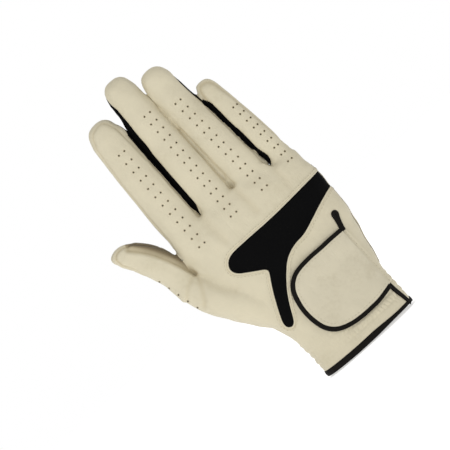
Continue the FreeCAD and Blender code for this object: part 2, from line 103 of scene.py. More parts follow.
# ---------------------------------------------------------------- lines and curves


def eased(value: Array) -> Array:
    """Runs smoothly from 0 to 1 as value does, and stays there outside."""
    held = np.clip(value, 0.0, 1.0)
    return held * held * (3.0 - 2.0 * held)


def bell(distance: Array, width: float) -> Array:
    """1 at distance 0, falling away over width."""
    return np.exp(-((distance / width) ** 2))


def through(stations: Sequence[float], values: Sequence[float], at: Array) -> Array:
    """Reads a smooth curve that passes through given values.

    Args:
        stations: Rising places at which the values are known.
        values: The value at each station.
        at: The places to read.

    Returns:
        The curve's value at each place.
    """
    known, level = np.asarray(stations, float), np.asarray(values, float)
    slope = np.gradient(level, known)
    left = np.clip(np.searchsorted(known, at) - 1, 0, len(known) - 2)
    span = known[left + 1] - known[left]
    share = np.clip((at - known[left]) / span, 0.0, 1.0)
    rise = eased(share)
    start = share * (1.0 - share) ** 2 * span * slope[left]
    end = share * share * (share - 1.0) * span * slope[left + 1]
    return level[left] * (1.0 - rise) + level[left + 1] * rise + start + end


def flow(points: Points, closed: bool = False, steps: int = 8) -> Array:
    """Draws a smooth line through points given in millimetres.

    Args:
        points: Across and up, in millimetres. A point given twice is a sharp corner.
        closed: Whether the last point joins the first.
        steps: Short runs between two points.

    Returns:
        The line's points in metres, one row each.
    """
    knots = np.asarray(points, float) * MM
    if closed:
        knots = np.vstack([knots[-1:], knots, knots[:2]])
    else:
        knots = np.vstack([2 * knots[:1] - knots[1:2], knots, 2 * knots[-1:] - knots[-2:-1]])
    line = []
    for before, start, end, after in zip(knots[:-3], knots[1:-2], knots[2:-1], knots[3:]):
        if np.allclose(start, end):
            continue
        into = np.zeros(2) if np.allclose(before, start) else (end - before) / 2
        out = np.zeros(2) if np.allclose(after, end) else (after - start) / 2
        for share in np.arange(steps) / steps:
            rise = share * share * (3 - 2 * share)
            line.append(start * (1 - rise) + end * rise + share * (1 - share) ** 2 * into
                        - share * share * (1 - share) * out)
    if not closed:
        line.append(knots[-2])
    return np.array(line)


def distance_to(line: Array, across: Array, up: Array) -> Array:
    """Measures from places to a line.

    Args:
        line: The line's points, one row each.
        across: How far across each place is.
        up: How far up each place is.

    Returns:
        The shortest distance from each place to the line.
    """
    best = np.full(len(across), np.inf)
    for (x0, z0), (x1, z1) in zip(line[:-1], line[1:]):
        dx, dz = x1 - x0, z1 - z0
        share = np.clip(((across - x0) * dx + (up - z0) * dz) / (dx * dx + dz * dz + 1e-18), 0.0, 1.0)
        best = np.minimum(best, np.hypot(across - x0 - share * dx, up - z0 - share * dz))
    return best


def inside(outline: Array, across: Array, up: Array) -> Array:
    """Measures from places to a closed outline.

    Args:
        outline: The outline's points, one row each.
        across: How far across each place is.
        up: How far up each place is.

    Returns:
        The distance to the outline, positive within it.
    """
    ring = np.vstack([outline, outline[:1]])
    odd = np.zeros(len(across), bool)
    for (x0, z0), (x1, z1) in zip(ring[:-1], ring[1:]):
        if z0 == z1:
            continue
        spans = (z0 > up) != (z1 > up)
        odd ^= spans & (across < x0 + (up - z0) * (x1 - x0) / (z1 - z0))
    return np.where(odd, 1.0, -1.0) * distance_to(ring, across, up)


def resampled(path: Array, pitch: float, closed: bool = False) -> Array:
    """Spaces the points of a path evenly.

    Args:
        path: The path's points.
        pitch: About how far apart they come to be.
        closed: Whether the path closes on itself.

    Returns:
        The same path with its points one pitch apart.
    """
    line = np.vstack([path, path[:1]]) if closed else path
    run = np.concatenate([[0.0], np.cumsum(np.linalg.norm(np.diff(line, axis=0), axis=1))])
    count = max(int(round(run[-1] / pitch)), 3)
    at = np.linspace(0.0, run[-1], count + 1)
    if closed:
        at = at[:-1]
    return np.stack([np.interp(at, run, line[:, axis]) for axis in range(line.shape[1])], axis=1)


def relaxed(path: Array, rounds: int, closed: bool = True) -> Array:
    """Eases the small kinks out of a path.

    Args:
        path: The path's points.
        rounds: How many times.
        closed: Whether the path closes on itself; its ends stay put otherwise.

    Returns:
        The smoother path.
    """
    for _ in range(rounds):
        middle = (np.roll(path, 1, axis=0) + np.roll(path, -1, axis=0)) / 2
        if not closed:
            middle[0], middle[-1] = path[0], path[-1]
        path = (path + middle) / 2
    return path


def unit(vectors: Array) -> Array:
    """Each row at length 1."""
    return vectors / (np.linalg.norm(vectors, axis=1, keepdims=True) + 1e-12)


# ---------------------------------------------------------------- meshes


@dataclass
class Solid:
    """A mesh of triangles with a direction and a tone, which carries painted shade, at every point."""

    points: Array
    faces: Array
    normals: Array | None = None
    tone: Array | None = None

    def joined(self, other: "Solid") -> "Solid":
        """This mesh and another as one."""
        return Solid(np.vstack([self.points, other.points]),
                     np.vstack([self.faces, other.faces + len(self.points)]))


def vertex_normals(points: Array, faces: Array) -> Array:
    """Works out which way a closed mesh faces.

    Args:
        points: The mesh's points.
        faces: Its triangles.

    Returns:
        The outward direction at each point.
    """
    a, b, c = (points[faces[:, k]] for k in range(3))
    flat = np.cross(b - a, c - a)
    total = np.zeros_like(points)
    for corner in range(3):
        for axis in range(3):
            total[:, axis] += np.bincount(faces[:, corner], flat[:, axis], len(points))
    return unit(total)


def tube(rings: Sequence[Array], closed: bool = False) -> Solid:
    """Skins a run of rings into a closed solid.

    Args:
        rings: The rings in order, each with the same number of points.
        closed: Whether the last ring joins the first; the ends are capped otherwise.

    Returns:
        The closed mesh.
    """
    count, size = len(rings), len(rings[0])
    points = np.vstack(rings)
    faces = []
    around = np.arange(size)
    onward = np.roll(around, -1)
    for row in range(count if closed else count - 1):
        here, there = row * size, ((row + 1) % count) * size
        faces.append(np.stack([here + around, here + onward, there + onward], 1))
        faces.append(np.stack([here + around, there + onward, there + around], 1))
    if not closed:
        ends = np.array([rings[0].mean(0), rings[-1].mean(0)])
        last = (count - 1) * size
        faces.append(np.stack([onward, around, np.full(size, len(points))], 1))
        faces.append(np.stack([last + around, last + onward, np.full(size, len(points) + 1)], 1))
        points = np.vstack([points, ends])
    return Solid(points, np.vstack(faces))


def swept(path: Array, normals: Array, profile: Array, scale: Array | None = None,
          closed: bool = False) -> Solid:
    """Runs a profile along a path that lies on a surface.

    Args:
        path: Points of the path.
        normals: The surface's direction at each point.
        profile: Closed outline; its first column runs across the path and its second away from the surface.
        scale: How much the profile is widened at each point.
        closed: Whether the path closes on itself.

    Returns:
        The closed mesh.
    """
    ahead = np.roll(path, -1, axis=0) - np.roll(path, 1, axis=0)
    if not closed:
        ahead[0], ahead[-1] = path[1] - path[0], path[-1] - path[-2]
    ahead = unit(ahead)
    side = unit(np.cross(ahead, normals))
    away = unit(np.cross(side, ahead))
    width = np.ones(len(path)) if scale is None else scale
    rings = [p + np.outer(profile[:, 0] * w, s) + np.outer(profile[:, 1] * min(w, 1.0), u)
             for p, s, u, w in zip(path, side, away, width)]
    return tube(rings, closed)


def oval(width: float, height: float, lift: float = 0.0, squareness: float = 2.6, count: int = 16) -> Array:
    """Draws a rounded outline for a swept tape.

    Args:
        width: How wide it is.
        height: How thick it is.
        lift: How far its middle is raised.
        squareness: 2 for an ellipse, more for squarer shoulders.
        count: How many points it has.

    Returns:
        Its points, across and away from the surface.
    """
    turn = np.arange(count) * 2 * math.pi / count
    power = 2 / squareness
    across = np.sign(np.cos(turn)) * np.abs(np.cos(turn)) ** power * width / 2
    up = np.sign(np.sin(turn)) * np.abs(np.sin(turn)) ** power * height / 2 + lift
    return np.stack([across, up], 1)


def shaded(colour: Colour, share: float) -> Colour:
    """A colour made darker or lighter."""
    return tuple(c * share for c in colour)


def make_piece(name: str, solid: Solid, finish: bpy.types.Material) -> bpy.types.Object:
    """Makes a smooth-shaded Blender piece from a mesh.

    Args:
        name: The piece's name.
        solid: Its mesh; where it has normals they are kept for shading.
        finish: Its material.

    Returns:
        The linked object.
    """
    mesh = bpy.data.meshes.new(name)
    mesh.from_pydata(solid.points.tolist(), [], solid.faces.tolist())
    mesh.polygons.foreach_set("use_smooth", np.ones(len(mesh.polygons), bool))
    # the tone attribute carries painted shade; 1 paints none
    tone = mesh.attributes.new("tone", "FLOAT", "POINT")
    shade = np.ones(len(solid.points)) if solid.tone is None else solid.tone
    tone.data.foreach_set("value", shade.astype(np.float32))
    mesh.materials.append(finish)
    if solid.normals is not None:
        mesh.normals_split_custom_set_from_vertices(solid.normals.tolist())
    mesh.update()
    piece = bpy.data.objects.new(name, mesh)
    bpy.context.scene.collection.objects.link(piece)
    return piece


@dataclass
class Skin:
    """The glove's outer surface, which seams and holes are cut into.

    A seam is the zero line of a value known at every point, so its edge comes out smooth.
    """

    points: Array
    faces: Array
    normals: Array = field(default_factory=lambda: np.zeros((0, 3)))
    tone: Array = field(default_factory=lambda: np.zeros(0))

    def refresh(self) -> None:
        """Works the outward directions out again."""
        self.normals = vertex_normals(self.points, self.faces)

    def middles(self) -> Array:
        """The middle of each face."""
        return self.points[self.faces].mean(axis=1)

    def split(self, wanted: Callable[[Array, Array], tuple[Array, Array]]) -> None:
        """Splits edges and the faces beside them.

        Args:
            wanted: Takes both ends of every edge, and returns which edges to split and how far along.
        """
        total = len(self.points)
        corners = self.faces
        ends = np.stack([corners, np.roll(corners, -1, axis=1)], axis=2).reshape(-1, 2)
        edges = ends.min(1) * total + ends.max(1)
        keys, first, back = np.unique(edges, return_index=True, return_inverse=True)
        low, high = ends.min(1)[first], ends.max(1)[first]
        chosen, share = wanted(low, high)
        index = np.full(len(keys), -1)
        index[chosen] = total + np.arange(int(chosen.sum()))
        low, high, share = low[chosen], high[chosen], share[chosen]
        self.tone = np.concatenate([self.tone, self.tone[low] * (1 - share) + self.tone[high] * share])
        share = share[:, None]
        self.points = np.vstack([self.points, self.points[low] * (1 - share) + self.points[high] * share])
        middle = unit(self.normals[low] * (1 - share) + self.normals[high] * share)
        self.normals = np.vstack([self.normals, middle])
        mids = index[back.reshape(-1)].reshape(-1, 3)
        count = (mids >= 0).sum(axis=1)
        pieces = [corners[count == 0]]
        for turn in range(3):
            a, b, c = np.roll(corners, -turn, axis=1).T
            ab, bc, ca = np.roll(mids, -turn, axis=1).T
            one = (count == 1) & (ab >= 0)
            two = (count == 2) & (bc < 0)
            pieces += [np.stack(trio, 1)[one] for trio in ((a, ab, c), (ab, b, c))]
            pieces += [np.stack(trio, 1)[two] for trio in ((a, ab, ca), (ab, b, ca), (b, c, ca))]
        a, b, c = corners.T
        ab, bc, ca = mids.T
        three = count == 3
        quarters = ((a, ab, ca), (b, bc, ab), (c, ca, bc), (ab, bc, ca))
        pieces += [np.stack(trio, 1)[three] for trio in quarters]
        self.faces = np.vstack(pieces)

    def cut(self, value: Array) -> None:
        """Splits the faces that a line crosses.

        Args:
            value: A level at each point, whose zero line is the cut.
        """
        level = np.where(np.abs(value) < SNAP, 0.0, value)

        def crossing(low: Array, high: Array) -> tuple[Array, Array]:
            """Finds the edges that the line crosses.

            Args:
                low: One end of every edge.
                high: The other end.

            Returns:
                Which edges are crossed, and how far along each.
            """
            start, end = level[low], level[high]
            return start * end < 0, start / np.where(start == end, 1.0, start - end)

        self.split(crossing)

    def refine(self, near: Array) -> None:
        """Halves every edge whose two ends are marked."""
        self.split(lambda low, high: (near[low] & near[high], np.full(len(low), 0.5)))

    def keep(self, chosen: Array) -> None:
        """Drops the faces that aren't chosen."""
        self.faces = self.faces[chosen]

    def borders(self, chosen: Array) -> list[Array]:
        """Finds the loops of points round some faces.

        Args:
            chosen: Which faces.

        Returns:
            The loops, as point numbers, longest first.
        """
        corners = self.faces[chosen]
        ends = np.stack([corners, np.roll(corners, -1, axis=1)], axis=2).reshape(-1, 2)
        total = len(self.points)
        lone = ~np.isin(ends[:, 0] * total + ends[:, 1], ends[:, 1] * total + ends[:, 0])
        after = dict(zip(ends[lone, 0].tolist(), ends[lone, 1].tolist()))
        loops = []
        while after:
            start, here = after.popitem()
            loop = [start]
            while here != start and here in after:
                loop.append(here)
                here = after.pop(here)
            loops.append(np.array(loop))
        return sorted(loops, key=len, reverse=True)

    def plate(self, chosen: Array, outer: float, inner: float) -> Solid:
        """Lifts the chosen faces off as a closed plate.

        Args:
            chosen: Which faces.
            outer: How far the plate's outer side stands off the skin.
            inner: How far its inner side does.

        Returns:
            The plate, with shading that runs on into its neighbours.
        """
        used, corners = np.unique(self.faces[chosen], return_inverse=True)
        corners = corners.reshape(-1, 3)
        size = len(used)
        ends = np.stack([corners, np.roll(corners, -1, axis=1)], axis=2).reshape(-1, 2)
        lone = ~np.isin(ends[:, 0] * size + ends[:, 1], ends[:, 1] * size + ends[:, 0])
        a, b = ends[lone].T
        walls = np.vstack([np.stack([b, a, a + size], 1), np.stack([b, a + size, b + size], 1)])
        points, normals = self.points[used], self.normals[used]
        return Solid(np.vstack([points + normals * outer, points + normals * inner]),
                     np.vstack([corners, corners[:, ::-1] + size, walls]),
                     np.vstack([normals, -normals]), np.tile(self.tone[used], 2))

    def area(self, chosen: Array) -> float:
        """The chosen faces' area in square metres."""
        a, b, c = (self.points[self.faces[chosen][:, k]] for k in range(3))
        return float(np.linalg.norm(np.cross(b - a, c - a), axis=1).sum() / 2)


@dataclass
class Last:
    """The smooth shape under the seams, which trims and tabs are laid on."""

    tree: BVHTree

    @classmethod
    def of(cls, skin: Skin) -> "Last":
        """The shape of a skin as it stands."""
        return cls(BVHTree.FromPolygons(skin.points.tolist(), skin.faces.tolist()))

    def under(self, line: Array, face: Face, height: float) -> tuple[Array, Array]:
        """Lays a flat line on one face.

        Args:
            line: Across and up, in metres.
            face: Which face it is laid on.
            height: How far it stands off.

        Returns:
            The laid points, and the surface's direction at each.
        """
        found, away = [], []
        for across, up in line:
            origin = Vector((across, 0.1 * face.value, up))
            place, normal, _, _ = self.tree.ray_cast(origin, Vector((0.0, -float(face.value), 0.0)))
            if place is None:
                place, normal, _, _ = self.tree.find_nearest(Vector((across, 0.0, up)))
            found.append(place)
            away.append(normal)
        normals = unit(relaxed(np.array(away, float), 4, closed=False))
        return np.array(found, float) + normals * height, normals

    def nearest(self, points: Array, height: float) -> tuple[Array, Array]:
        """Moves points onto the surface.

        Args:
            points: The points.
            height: How far they end up off the surface.

        Returns:
            The moved points, and the surface's direction at each.
        """
        hits = [self.tree.find_nearest(Vector(p)) for p in points]
        normals = np.array([hit[1] for hit in hits], float)
        return np.array([hit[0] for hit in hits], float) + normals * height, normals


# ---------------------------------------------------------------- finishes


class Nodes:
    """A short way to write a material's nodes."""

    def __init__(self, name: str) -> None:
        """Starts an empty material with its shader."""
        self.material = bpy.data.materials.new(name)
        self.material.use_nodes = True
        self.tree = self.material.node_tree
        self.shader = self.tree.nodes["Principled BSDF"]
        self.place = self.add("ShaderNodeTexCoord").outputs["Object"]

    def add(self, kind: str, **values: object) -> bpy.types.Node:
        """Adds a node.

        Args:
            kind: The node's type.
            values: Its properties, and its sockets where a name isn't a property.

        Returns:
            The node.
        """
        node = self.tree.nodes.new(kind)
        for name, value in values.items():
            if hasattr(node, name):
                setattr(node, name, value)
            else:
                node.inputs[name.replace("_", " ")].default_value = value
        return node

    def link(self, source: Socket, target: Socket) -> None:
        """Joins two sockets."""
        self.tree.links.new(source, target)

    def stretched(self, scale: tuple[float, float, float]) -> Socket:
        """Scales the piece's own coordinates.

        Args:
            scale: How much along each axis.

        Returns:
            The scaled coordinates.
        """
        node = self.add("ShaderNodeMapping")
        node.inputs["Scale"].default_value = scale
        self.link(self.place, node.inputs["Vector"])
        return node.outputs["Vector"]

    def noise(self, scale: float, detail: float = 4.0, place: Socket | None = None) -> Socket:
        """Makes a cloudy pattern.

        Args:
            scale: Its cells to the metre.
            detail: How fine its finest clouds are.
            place: The coordinates that it is read at; the piece's own by default.

        Returns:
            The pattern, from 0 to 1.
        """
        node = self.add("ShaderNodeTexNoise", Scale=scale, Detail=detail)
        self.link(place or self.place, node.inputs["Vector"])
        return node.outputs["Fac"]

    def cells(self, scale: float) -> Socket:
        """Makes a pattern of small cells.

        Args:
            scale: Its cells to the metre.

        Returns:
            The distance from the middle of each cell.
        """
        node = self.add("ShaderNodeTexVoronoi", Scale=scale)
        self.link(self.place, node.inputs["Vector"])
        return node.outputs["Distance"]

    def bands(self, scale: float, axis: str, twist: float) -> Socket:
        """Makes even waves.

        Args:
            scale: How close they are.
            axis: The axis that they cross.
            twist: How much they waver.

        Returns:
            The waves, from 0 to 1.
        """
        node = self.add("ShaderNodeTexWave", bands_direction=axis, Scale=scale, Distortion=twist)
        self.link(self.place, node.inputs["Vector"])
        return node.outputs["Fac"]

    def combine(self, way: str, first: Socket, second: Socket | float) -> Socket:
        """Does arithmetic on two values.

        Args:
            way: The operation.
            first: The first value.
            second: The second value.

        Returns:
            The result.
        """
        node = self.add("ShaderNodeMath", operation=way)
        self.link(first, node.inputs[0])
        if isinstance(second, float):
            node.inputs[1].default_value = second
        else:
            self.link(second, node.inputs[1])
        return node.outputs["Value"]

    def colours(self, value: Socket, stops: Sequence[tuple[float, Colour]]) -> Socket:
        """Runs through colours along a value.

        Args:
            value: The value, from 0 to 1.
            stops: Each colour with the value that it stands at.

        Returns:
            The colour.
        """
        ramp = self.add("ShaderNodeValToRGB")
        band = ramp.color_ramp
        for element, (place, colour) in zip(band.elements, (stops[0], stops[-1])):
            element.position, element.color = place, (*colour, 1.0)
        for place, colour in stops[1:-1]:
            band.elements.new(place).color = (*colour, 1.0)
        self.link(value, ramp.inputs["Fac"])
        return ramp.outputs["Color"]

    def spread(self, value: Socket, low: float, high: float) -> Socket:
        """Spreads a value over a range.

        Args:
            value: The value, from 0 to 1.
            low: What 0 becomes.
            high: What 1 becomes.

        Returns:
            The spread value.
        """
        node = self.add("ShaderNodeMapRange")
        node.inputs["To Min"].default_value = low
        node.inputs["To Max"].default_value = high
        self.link(value, node.inputs["Value"])
        return node.outputs["Result"]

    def relief(self, heights: Sequence[tuple[Socket, float, float]]) -> None:
        """Stacks relief on the shader.

        Args:
            heights: Each pattern with its strength and its depth in metres.
        """
        last = None
        for height, strength, depth in heights:
            bump = self.add("ShaderNodeBump", Strength=strength, Distance=depth)
            self.link(height, bump.inputs["Height"])
            if last is not None:
                self.link(last, bump.inputs["Normal"])
            last = bump.outputs["Normal"]
        self.link(last, self.shader.inputs["Normal"])

    def set(self, **values: float) -> None:
        """Sets the shader's own sockets."""
        for name, value in values.items():
            self.shader.inputs[name.replace("_", " ")].default_value = value


@dataclass(frozen=True)
class Leather:
    """Thin sheepskin with a fine pebbled grain, and painted shade that runs darker and browner where its tone
    is low.
    """

    name: str = "cream_leather"
    pale: Colour = (0.600, 0.545, 0.400)
    deep: Colour = (0.555, 0.500, 0.356)
    grain: float = 1500.0
    roughness: tuple[float, float] = (0.50, 0.68)
    relief: float = 0.55
    # painted shade: the colour the leather is multiplied by, from the lowest tone to none
    painted_shade_ramp: tuple[tuple[float, Colour], ...] = (
        (0.0, (0.03, 0.022, 0.012)), (0.5, (0.36, 0.31, 0.24)),
        (0.85, (0.86, 0.82, 0.74)), (1.0, (1.0, 1.0, 1.0)))

    def material(self) -> bpy.types.Material:
        """Builds the material.

        Returns:
            The material.
        """
        nodes = Nodes(self.name)
        cloud = nodes.noise(38.0, 5.0)
        mottle = nodes.noise(420.0, 6.0)
        blend = nodes.combine("MULTIPLY_ADD", mottle, 0.35)
        nodes.link(cloud, blend.node.inputs[2])
        base = nodes.colours(blend, [(0.42, self.deep), (0.62, self.pale), (0.86, shaded(self.pale, 1.04))])
        # painted shade: the tone attribute darkens the leather in seam grooves, creases, round the holes and
        # on the thumb's web
        shade = nodes.add("ShaderNodeAttribute", attribute_name="tone")
        dark = nodes.add("ShaderNodeMix", data_type="RGBA", blend_type="MULTIPLY")
        dark.inputs["Factor"].default_value = 1.0
        nodes.link(base, dark.inputs["A"])
        nodes.link(nodes.colours(shade.outputs["Fac"], self.painted_shade_ramp), dark.inputs["B"])
        nodes.link(dark.outputs["Result"], nodes.shader.inputs["Base Color"])
        nodes.link(nodes.spread(mottle, *self.roughness), nodes.shader.inputs["Roughness"])
        pores = nodes.cells(self.grain)
        wrinkles = nodes.noise(260.0, 6.0, nodes.stretched((1.0, 1.0, 0.45)))
        dimples = nodes.noise(90.0, 3.0)
        nodes.relief([(dimples, 0.5, 1.0 * MM), (wrinkles, 0.6, 0.6 * MM), (pores, self.relief, 0.14 * MM)])
        nodes.set(Specular_IOR_Level=0.35, Sheen_Weight=0.08, Sheen_Roughness=0.5)
        return nodes.material


@dataclass(frozen=True)
class Knit:
    """Close black jersey or an open black mesh, by the size of its ribs."""

    name: str
    colour: Colour = (0.0022, 0.0022, 0.0024)
    ribs: float = 520.0
    courses: float = 380.0
    gloss: float = 0.07

    def material(self) -> bpy.types.Material:
        """Builds the material.

        Returns:
            The material.
        """
        nodes = Nodes(self.name)
        ribs = nodes.bands(self.ribs, "X", 0.6)
        courses = nodes.bands(self.courses, "Z", 0.8)
        weave = nodes.combine("MULTIPLY", ribs, courses)
        fluff = nodes.noise(900.0, 5.0)
        colour = nodes.colours(nodes.combine("MULTIPLY", weave, fluff), [
            (0.0, shaded(self.colour, 0.6)), (1.0, shaded(self.colour, 2.6))])
        nodes.link(colour, nodes.shader.inputs["Base Color"])
        nodes.link(nodes.spread(fluff, 0.70, 0.92), nodes.shader.inputs["Roughness"])
        nodes.relief([(nodes.noise(120.0), 0.3, 0.0004), (weave, 0.8, 0.00022)])
        nodes.set(Specular_IOR_Level=self.gloss)
        return nodes.material


@dataclass(frozen=True)
class Tape:
    """Black woven binding tape, brown-black where its ribs catch the light."""

    name: str = "black_binding"
    colour: Colour = (0.004, 0.0032, 0.0024)
    # the painted highlight on the ribs' crests
    painted_rib_highlight: Colour = (0.012, 0.009, 0.006)

    def material(self) -> bpy.types.Material:
        """Builds the material.

        Returns:
            The material.
        """
        nodes = Nodes(self.name)
        turned = nodes.add("ShaderNodeMapping")
        turned.inputs["Rotation"].default_value = (0.0, math.radians(45), 0.0)
        nodes.link(nodes.place, turned.inputs["Vector"])
        wave = nodes.add("ShaderNodeTexWave", bands_direction="X", Scale=430.0, Distortion=1.2)
        nodes.link(turned.outputs["Vector"], wave.inputs["Vector"])
        fluff = nodes.noise(1100.0, 4.0)
        # painted highlight: the ribs' crests run to brown-black, as if catching the light
        colour = nodes.colours(nodes.combine("MULTIPLY", wave.outputs["Fac"], fluff), [
            (0.0, shaded(self.colour, 0.6)), (1.0, self.painted_rib_highlight)])
        nodes.link(colour, nodes.shader.inputs["Base Color"])
        nodes.link(nodes.spread(fluff, 0.55, 0.8), nodes.shader.inputs["Roughness"])
        nodes.relief([(wave.outputs["Fac"], 0.6, 0.0002), (fluff, 0.3, 0.0001)])
        nodes.set(Specular_IOR_Level=0.12)
        return nodes.material


@dataclass(frozen=True)
class Ribbed:
    """A pale or black ribbed textile: elastic webbing, hook or loop pile, or sewing thread."""

    name: str
    colour: Colour
    scale: float
    roughness: float = 0.8
    depth: float = 0.0003
    shine: float = 0.3

    def material(self) -> bpy.types.Material:
        """Builds the material.

        Returns:
            The material.
        """
        nodes = Nodes(self.name)
        fibres = nodes.noise(self.scale, 6.0)
        tufts = nodes.cells(self.scale * 0.6)
        pile = nodes.combine("MULTIPLY", fibres, nodes.combine("ADD", tufts, 0.6))
        colour = nodes.colours(pile, [(0.15, shaded(self.colour, 0.55)), (0.75, self.colour)])
        nodes.link(colour, nodes.shader.inputs["Base Color"])
        nodes.relief([(tufts, 0.7, self.depth), (fibres, 0.5, self.depth)])
        nodes.set(Roughness=self.roughness, Specular_IOR_Level=self.shine)
        return nodes.material


@dataclass
class Finishes:
    """Every material of the glove, by its use."""

    leather: bpy.types.Material = field(init=False)
    tab_leather: bpy.types.Material = field(init=False)
    stretch: bpy.types.Material = field(init=False)
    mesh_knit: bpy.types.Material = field(init=False)
    tape: bpy.types.Material = field(init=False)
    elastic: bpy.types.Material = field(init=False)
    loop: bpy.types.Material = field(init=False)
    hook: bpy.types.Material = field(init=False)
    thread: bpy.types.Material = field(init=False)

    def __post_init__(self) -> None:
        """Builds them all once."""
        self.leather = Leather().material()
        self.tab_leather = Leather(name="tab_leather", pale=(0.580, 0.530, 0.398), deep=(0.520, 0.468, 0.340),
                                   grain=1700.0, relief=0.35).material()
        self.stretch = Knit("black_stretch_fabric").material()
        self.mesh_knit = Knit("black_mesh_knit", ribs=700.0, courses=620.0, gloss=0.05).material()
        self.tape = Tape().material()
        self.elastic = Ribbed("elastic_webbing", (0.55, 0.52, 0.44), 900.0).material()
        self.loop = Ribbed("loop_pile", (0.50, 0.46, 0.35), 1400.0, 0.95, 0.0006, 0.1).material()
        self.hook = Ribbed("hook_plastic", (0.42, 0.40, 0.33), 1000.0, 0.35, 0.0006, 0.5).material()
        self.thread = Ribbed("cream_thread", (0.56, 0.50, 0.36), 2500.0, 0.6, 0.0001).material()


# ---------------------------------------------------------------- the shape of the hand


SLIM_REACH = 0.03  # how far up a finger its flanks are kept narrower
DIGIT_POINTS = 48  # points round a digit
HAND_POINTS = 96  # points round the hand


@dataclass
class Digit:
    """A finger or thumb of the glove: widths in millimetres, places from the frame's own joint."""

    name: str
    widths: tuple[float, float, float]
    lean: float
    depth_share: float = 0.8
    bow: float = 0.0
    tilt: float = 0.0
    curl: float = 2.5
    tip_power: float = 0.72
    known_length: float = 0.0
    tip_reach: float = 1.1
    roundness: float = 0.92
    root: Array = field(init=False)
    length: float = field(init=False)

    def __post_init__(self) -> None:
        """Reads the root from the joint and the length from the tip's height."""
        joint = next(j for j in frame["joints"] if j["name"] == f"{self.name}_knuckle")
        self.root = np.array([joint["pos_m"][0], 0.0, joint["pos_m"][2]])
        nodes = [node for node in frame["nodes"] if node.startswith(self.name)]
        top = max(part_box(node)[1][2] for node in nodes)
        self.length = self.known_length * MM or top - self.root[2]

    @property
    def along(self) -> Array:
        """The direction from root to tip."""
        turn = math.radians(self.tilt)
        return np.array([-math.sin(turn), 0.0, math.cos(turn)])

    @property
    def sideways(self) -> Array:
        """The direction across the digit, towards the little finger."""
        turn = math.radians(self.tilt)
        return np.array([math.cos(turn), 0.0, math.sin(turn)])

    def local(self, points: Array) -> tuple[Array, Array]:
        """How far each point lies along the digit and across it."""
        away = points - self.root
        return away @ self.along, away @ self.sideways

    def middle(self, run: Array) -> Array:
        """How far across the middle line lies, at a run along the digit."""
        share = run / self.length
        return (self.lean * share + self.bow * 4 * share * (1 - share)) * MM

    def half_width(self, run: Array) -> Array:
        """Half the width at a run along the digit, below the tip's dome."""
        share = np.clip(run / self.length, -0.3, 1.0)
        return through((-0.3, 0.0, 0.5, 1.0), (self.widths[0], *self.widths), share) * MM / 2

    def edge(self, height: Array, flank: Flank) -> Array:
        """Where one flank of an upright finger stands, at a height."""
        run = height - self.root[2]
        return self.root[0] + self.middle(run) + flank.value * self.half_width(run)

    def solid(self, sink: float, slim: float) -> Solid:
        """Skins the digit.

        Args:
            sink: How far its root reaches into the hand.
            slim: How much narrower each flank is near the root, so that neighbours stay apart.

        Returns:
            The closed mesh.
        """
        dome = self.widths[2] / 2 * MM
        body = list(np.linspace(-sink, self.length - self.tip_reach * dome, 26))
        turn = np.arange(DIGIT_POINTS) * 2 * math.pi / DIGIT_POINTS
        rings = []
        for run in body:
            half = float(self.half_width(np.array([run]))[0])
            half -= slim * float(1 - eased(np.array([run / SLIM_REACH]))[0])
            rings.append((run, half, half * self.depth_share))
        for latitude in np.radians(np.arange(12, 90, 12)):
            reach = self.length - self.tip_reach * dome * (1 - math.sin(latitude))
            half = dome * math.cos(latitude) ** self.tip_power
            rings.append((reach, half, dome * self.depth_share * math.cos(latitude)))
        built = []
        for run, half, depth in rings:
            centre = self.root + self.along * run + self.sideways * self.middle(np.array([run]))[0]
            centre = centre + np.array([0.0, self.curl * MM * max(run / self.length, 0.0) ** 2, 0.0])
            across = np.sign(np.cos(turn)) * np.abs(np.cos(turn)) ** self.roundness * half
            fore = np.sign(np.sin(turn)) * np.abs(np.sin(turn)) ** self.roundness * depth
            built.append(centre + np.outer(across, self.sideways) + np.outer(fore, (0.0, 1.0, 0.0)))
        return tube(built)


@dataclass
class Bulge:
    """A soft swelling of the filled glove: its middle, reach and height in millimetres."""

    face: Face
    across: float
    up: float
    reach: float
    height: float


@dataclass
class Crease:
    """A soft fold pressed into the leather: its line, depth and width in millimetres, and how much shade is
    painted into its hollow.
    """

    face: Face
    line: Points
    depth: float
    width: float
    # the share of painted shade in the crease's hollow
    tone: float = 0.06


